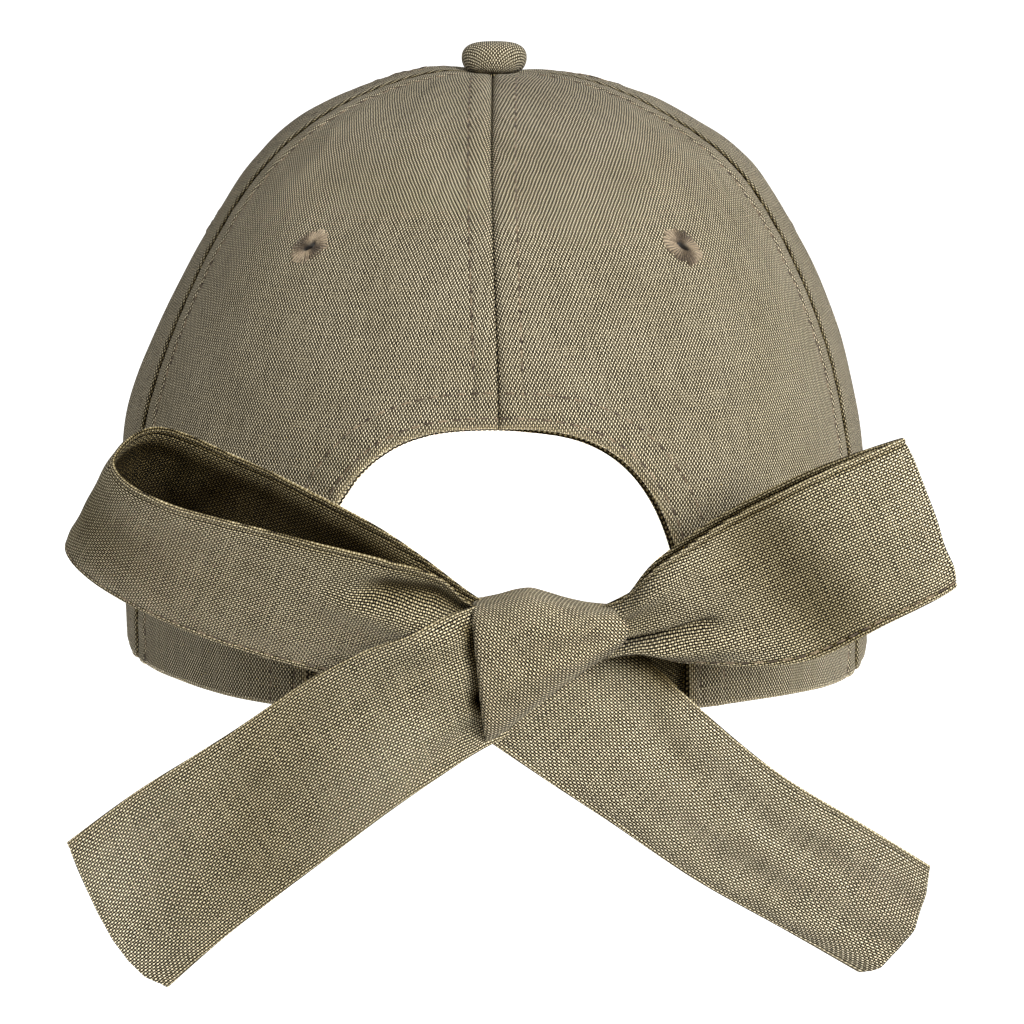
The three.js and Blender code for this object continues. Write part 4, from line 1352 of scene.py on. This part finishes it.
class CAP_OT_topstitching(bpy.types.Operator):
    """Makes the stitching beside the seams and round the arch"""
    bl_idname = "cap.topstitching"
    bl_label = "Topstitching"

    def execute(self, context):
        places = []
        heights = np.linspace(0.004, 0.93, 400)
        for seam in SEAMS:
            for side in (-1, 1):
                around = seam + side * np.degrees(TOPSTITCH / level_radius(np.float64(seam), heights))
                clear = (arch_distance(around, heights) > 10.4) & (level_radius(around, heights) > 12)
                if seam == 0:
                    clear &= heights > 0.3
                places.append((around[clear], heights[clear]))
        for row in ARCH_ROWS:
            around, up = arch_line(row, np.linspace(0.0, 0.995, 300))
            places.append((np.concatenate([-around[:0:-1], around]), np.concatenate([up[:0:-1], up])))
        lines = [(crown_point(*place), crown_normal(*place)) for place in places]
        stitches("crown_stitching", lines, context.scene.cap_thread)
        return {"FINISHED"}


class CAP_OT_straps(bpy.types.Operator):
    """Makes the two straps that run from inside the crown to the knot"""
    bl_idname = "cap.straps"
    bl_label = "Straps"

    def execute(self, context):
        for piece, flat in pair_of_ribbons("strap", "tie_strap", STRAP_STATIONS):
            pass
        return {"FINISHED"}


class CAP_OT_loops(bpy.types.Operator):
    """Makes the two loops of the bow"""
    bl_idname = "cap.loops"
    bl_label = "Bow Loops"

    def execute(self, context):
        for piece, flat in pair_of_ribbons("loop", "bow_loop", context.scene.cap_bow.loop_stations):
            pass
        return {"FINISHED"}


class CAP_OT_tails(bpy.types.Operator):
    """Makes the two loose ends of the bow"""
    bl_idname = "cap.tails"
    bl_label = "Bow Tails"

    def execute(self, context):
        for piece, flat in pair_of_ribbons("tail", "bow_tail", context.scene.cap_bow.tail_stations):
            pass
        return {"FINISHED"}


class CAP_OT_knot(bpy.types.Operator):
    """Makes the wrap that holds the bow"""
    bl_idname = "cap.knot"
    bl_label = "Knot"

    def execute(self, context):
        finish_piece(knot_piece(), ["bow_knot"])
        return {"FINISHED"}


class CAP_OT_bow_stitching(bpy.types.Operator):
    """Makes the row of stitching that closes each ribbon"""
    bl_idname = "cap.bow_stitching"
    bl_label = "Bow Stitching"

    def execute(self, context):
        lines = [ribbon_stitch_line(*row) for row in BOW_ROWS]
        stitches("bow_stitching", lines, context.scene.cap_thread)
        return {"FINISHED"}


class CAP_OT_stage(bpy.types.Operator):
    """Makes the white floor, the lights and the camera"""
    bl_idname = "cap.stage"
    bl_label = "Studio"

    def execute(self, context):
        settings = context.scene.cap_stage
        turn = np.linspace(0, 2 * np.pi, 65)[:-1, None]
        reach, height = np.transpose(FLOOR_PROFILE)
        points = np.stack(np.broadcast_arrays(reach * np.cos(turn), reach * np.sin(turn), height), axis=-1)
        faces = turned_faces(*points.shape[:2])[:, ::-1]
        floor = weld(build_mesh("studio_floor", points.reshape(-1, 3) / MM, faces,
                                points[..., :2].reshape(-1, 2) / MM, 0,
                                painted_studio("matt_studio_paint", settings)))
        floor.visible_diffuse = False
        floor.visible_glossy = False
        floor.visible_shadow = False

        world = bpy.data.worlds.new("soft_sky")
        world.use_nodes = True
        sky = world.node_tree.nodes["Background"]
        sky.inputs["Color"].default_value = (*settings.sky_colour, 1)
        sky.inputs["Strength"].default_value = settings.sky
        context.scene.world = world
        for name, place, towards, size, spread in LAMPS:
            lamp = bpy.data.lights.new(f"{name}_light", "AREA")
            lamp.energy = getattr(settings, name)
            lamp.size = size
            lamp.spread = math.radians(spread)
            holder = bpy.data.objects.new(f"{name}_light", lamp)
            holder.location = place
            holder.rotation_euler = (Vector(towards) - Vector(place)).to_track_quat("-Z", "Y").to_euler()
            holder.visible_camera = False
            context.scene.collection.objects.link(holder)

        camera = bpy.data.cameras.new("photo_camera")
        camera.sensor_width = SENSOR_WIDTH
        camera.lens = FOCAL_WIDTHS * SENSOR_WIDTH
        camera.clip_start = 0.05
        camera.clip_end = 60
        holder = bpy.data.objects.new("photo_camera", camera)
        holder.location = CAMERA_PLACE
        holder.rotation_euler = (math.radians(CAMERA_TILT), 0, 0)
        context.scene.collection.objects.link(holder)
        context.scene.camera = holder
        context.scene.view_settings.view_transform = "Standard"
        return {"FINISHED"}


OPERATORS = (
    CAP_OT_stage, CAP_OT_panels, CAP_OT_eyelets, CAP_OT_button, CAP_OT_tape, CAP_OT_peak, CAP_OT_topstitching,
    CAP_OT_straps, CAP_OT_loops, CAP_OT_tails, CAP_OT_knot, CAP_OT_bow_stitching,
)
SETTINGS = {
    "cap_crown": CapCrownSettings,
    "cap_thread": CapThreadSettings,
    "cap_bow": CapBowSettings,
    "cap_stage": CapStageSettings,
}


class CAP_PT_panel(bpy.types.Panel):
    """Lists the cap's pieces and their settings"""
    bl_idname = "CAP_PT_panel"
    bl_label = "Linen Cap"
    bl_space_type = "VIEW_3D"
    bl_region_type = "UI"
    bl_category = "Linen Cap"

    def draw(self, context):
        for group, kind in SETTINGS.items():
            for name in kind.__annotations__:
                self.layout.prop(getattr(context.scene, group), name)
        for operator in OPERATORS:
            self.layout.operator(operator.bl_idname)


def register():
    for kind in (*SETTINGS.values(), *OPERATORS, CAP_PT_panel):
        bpy.utils.register_class(kind)
    for name, kind in SETTINGS.items():
        setattr(bpy.types.Scene, name, PointerProperty(type=kind))


def unregister():
    for name in SETTINGS:
        delattr(bpy.types.Scene, name)
    for kind in (CAP_PT_panel, *reversed(OPERATORS), *reversed(SETTINGS.values())):
        bpy.utils.unregister_class(kind)


def main():
    register()
    for operator in OPERATORS:
        getattr(bpy.ops.cap, operator.bl_idname.split(".")[1])()


if __name__ == "__main__":
    main()
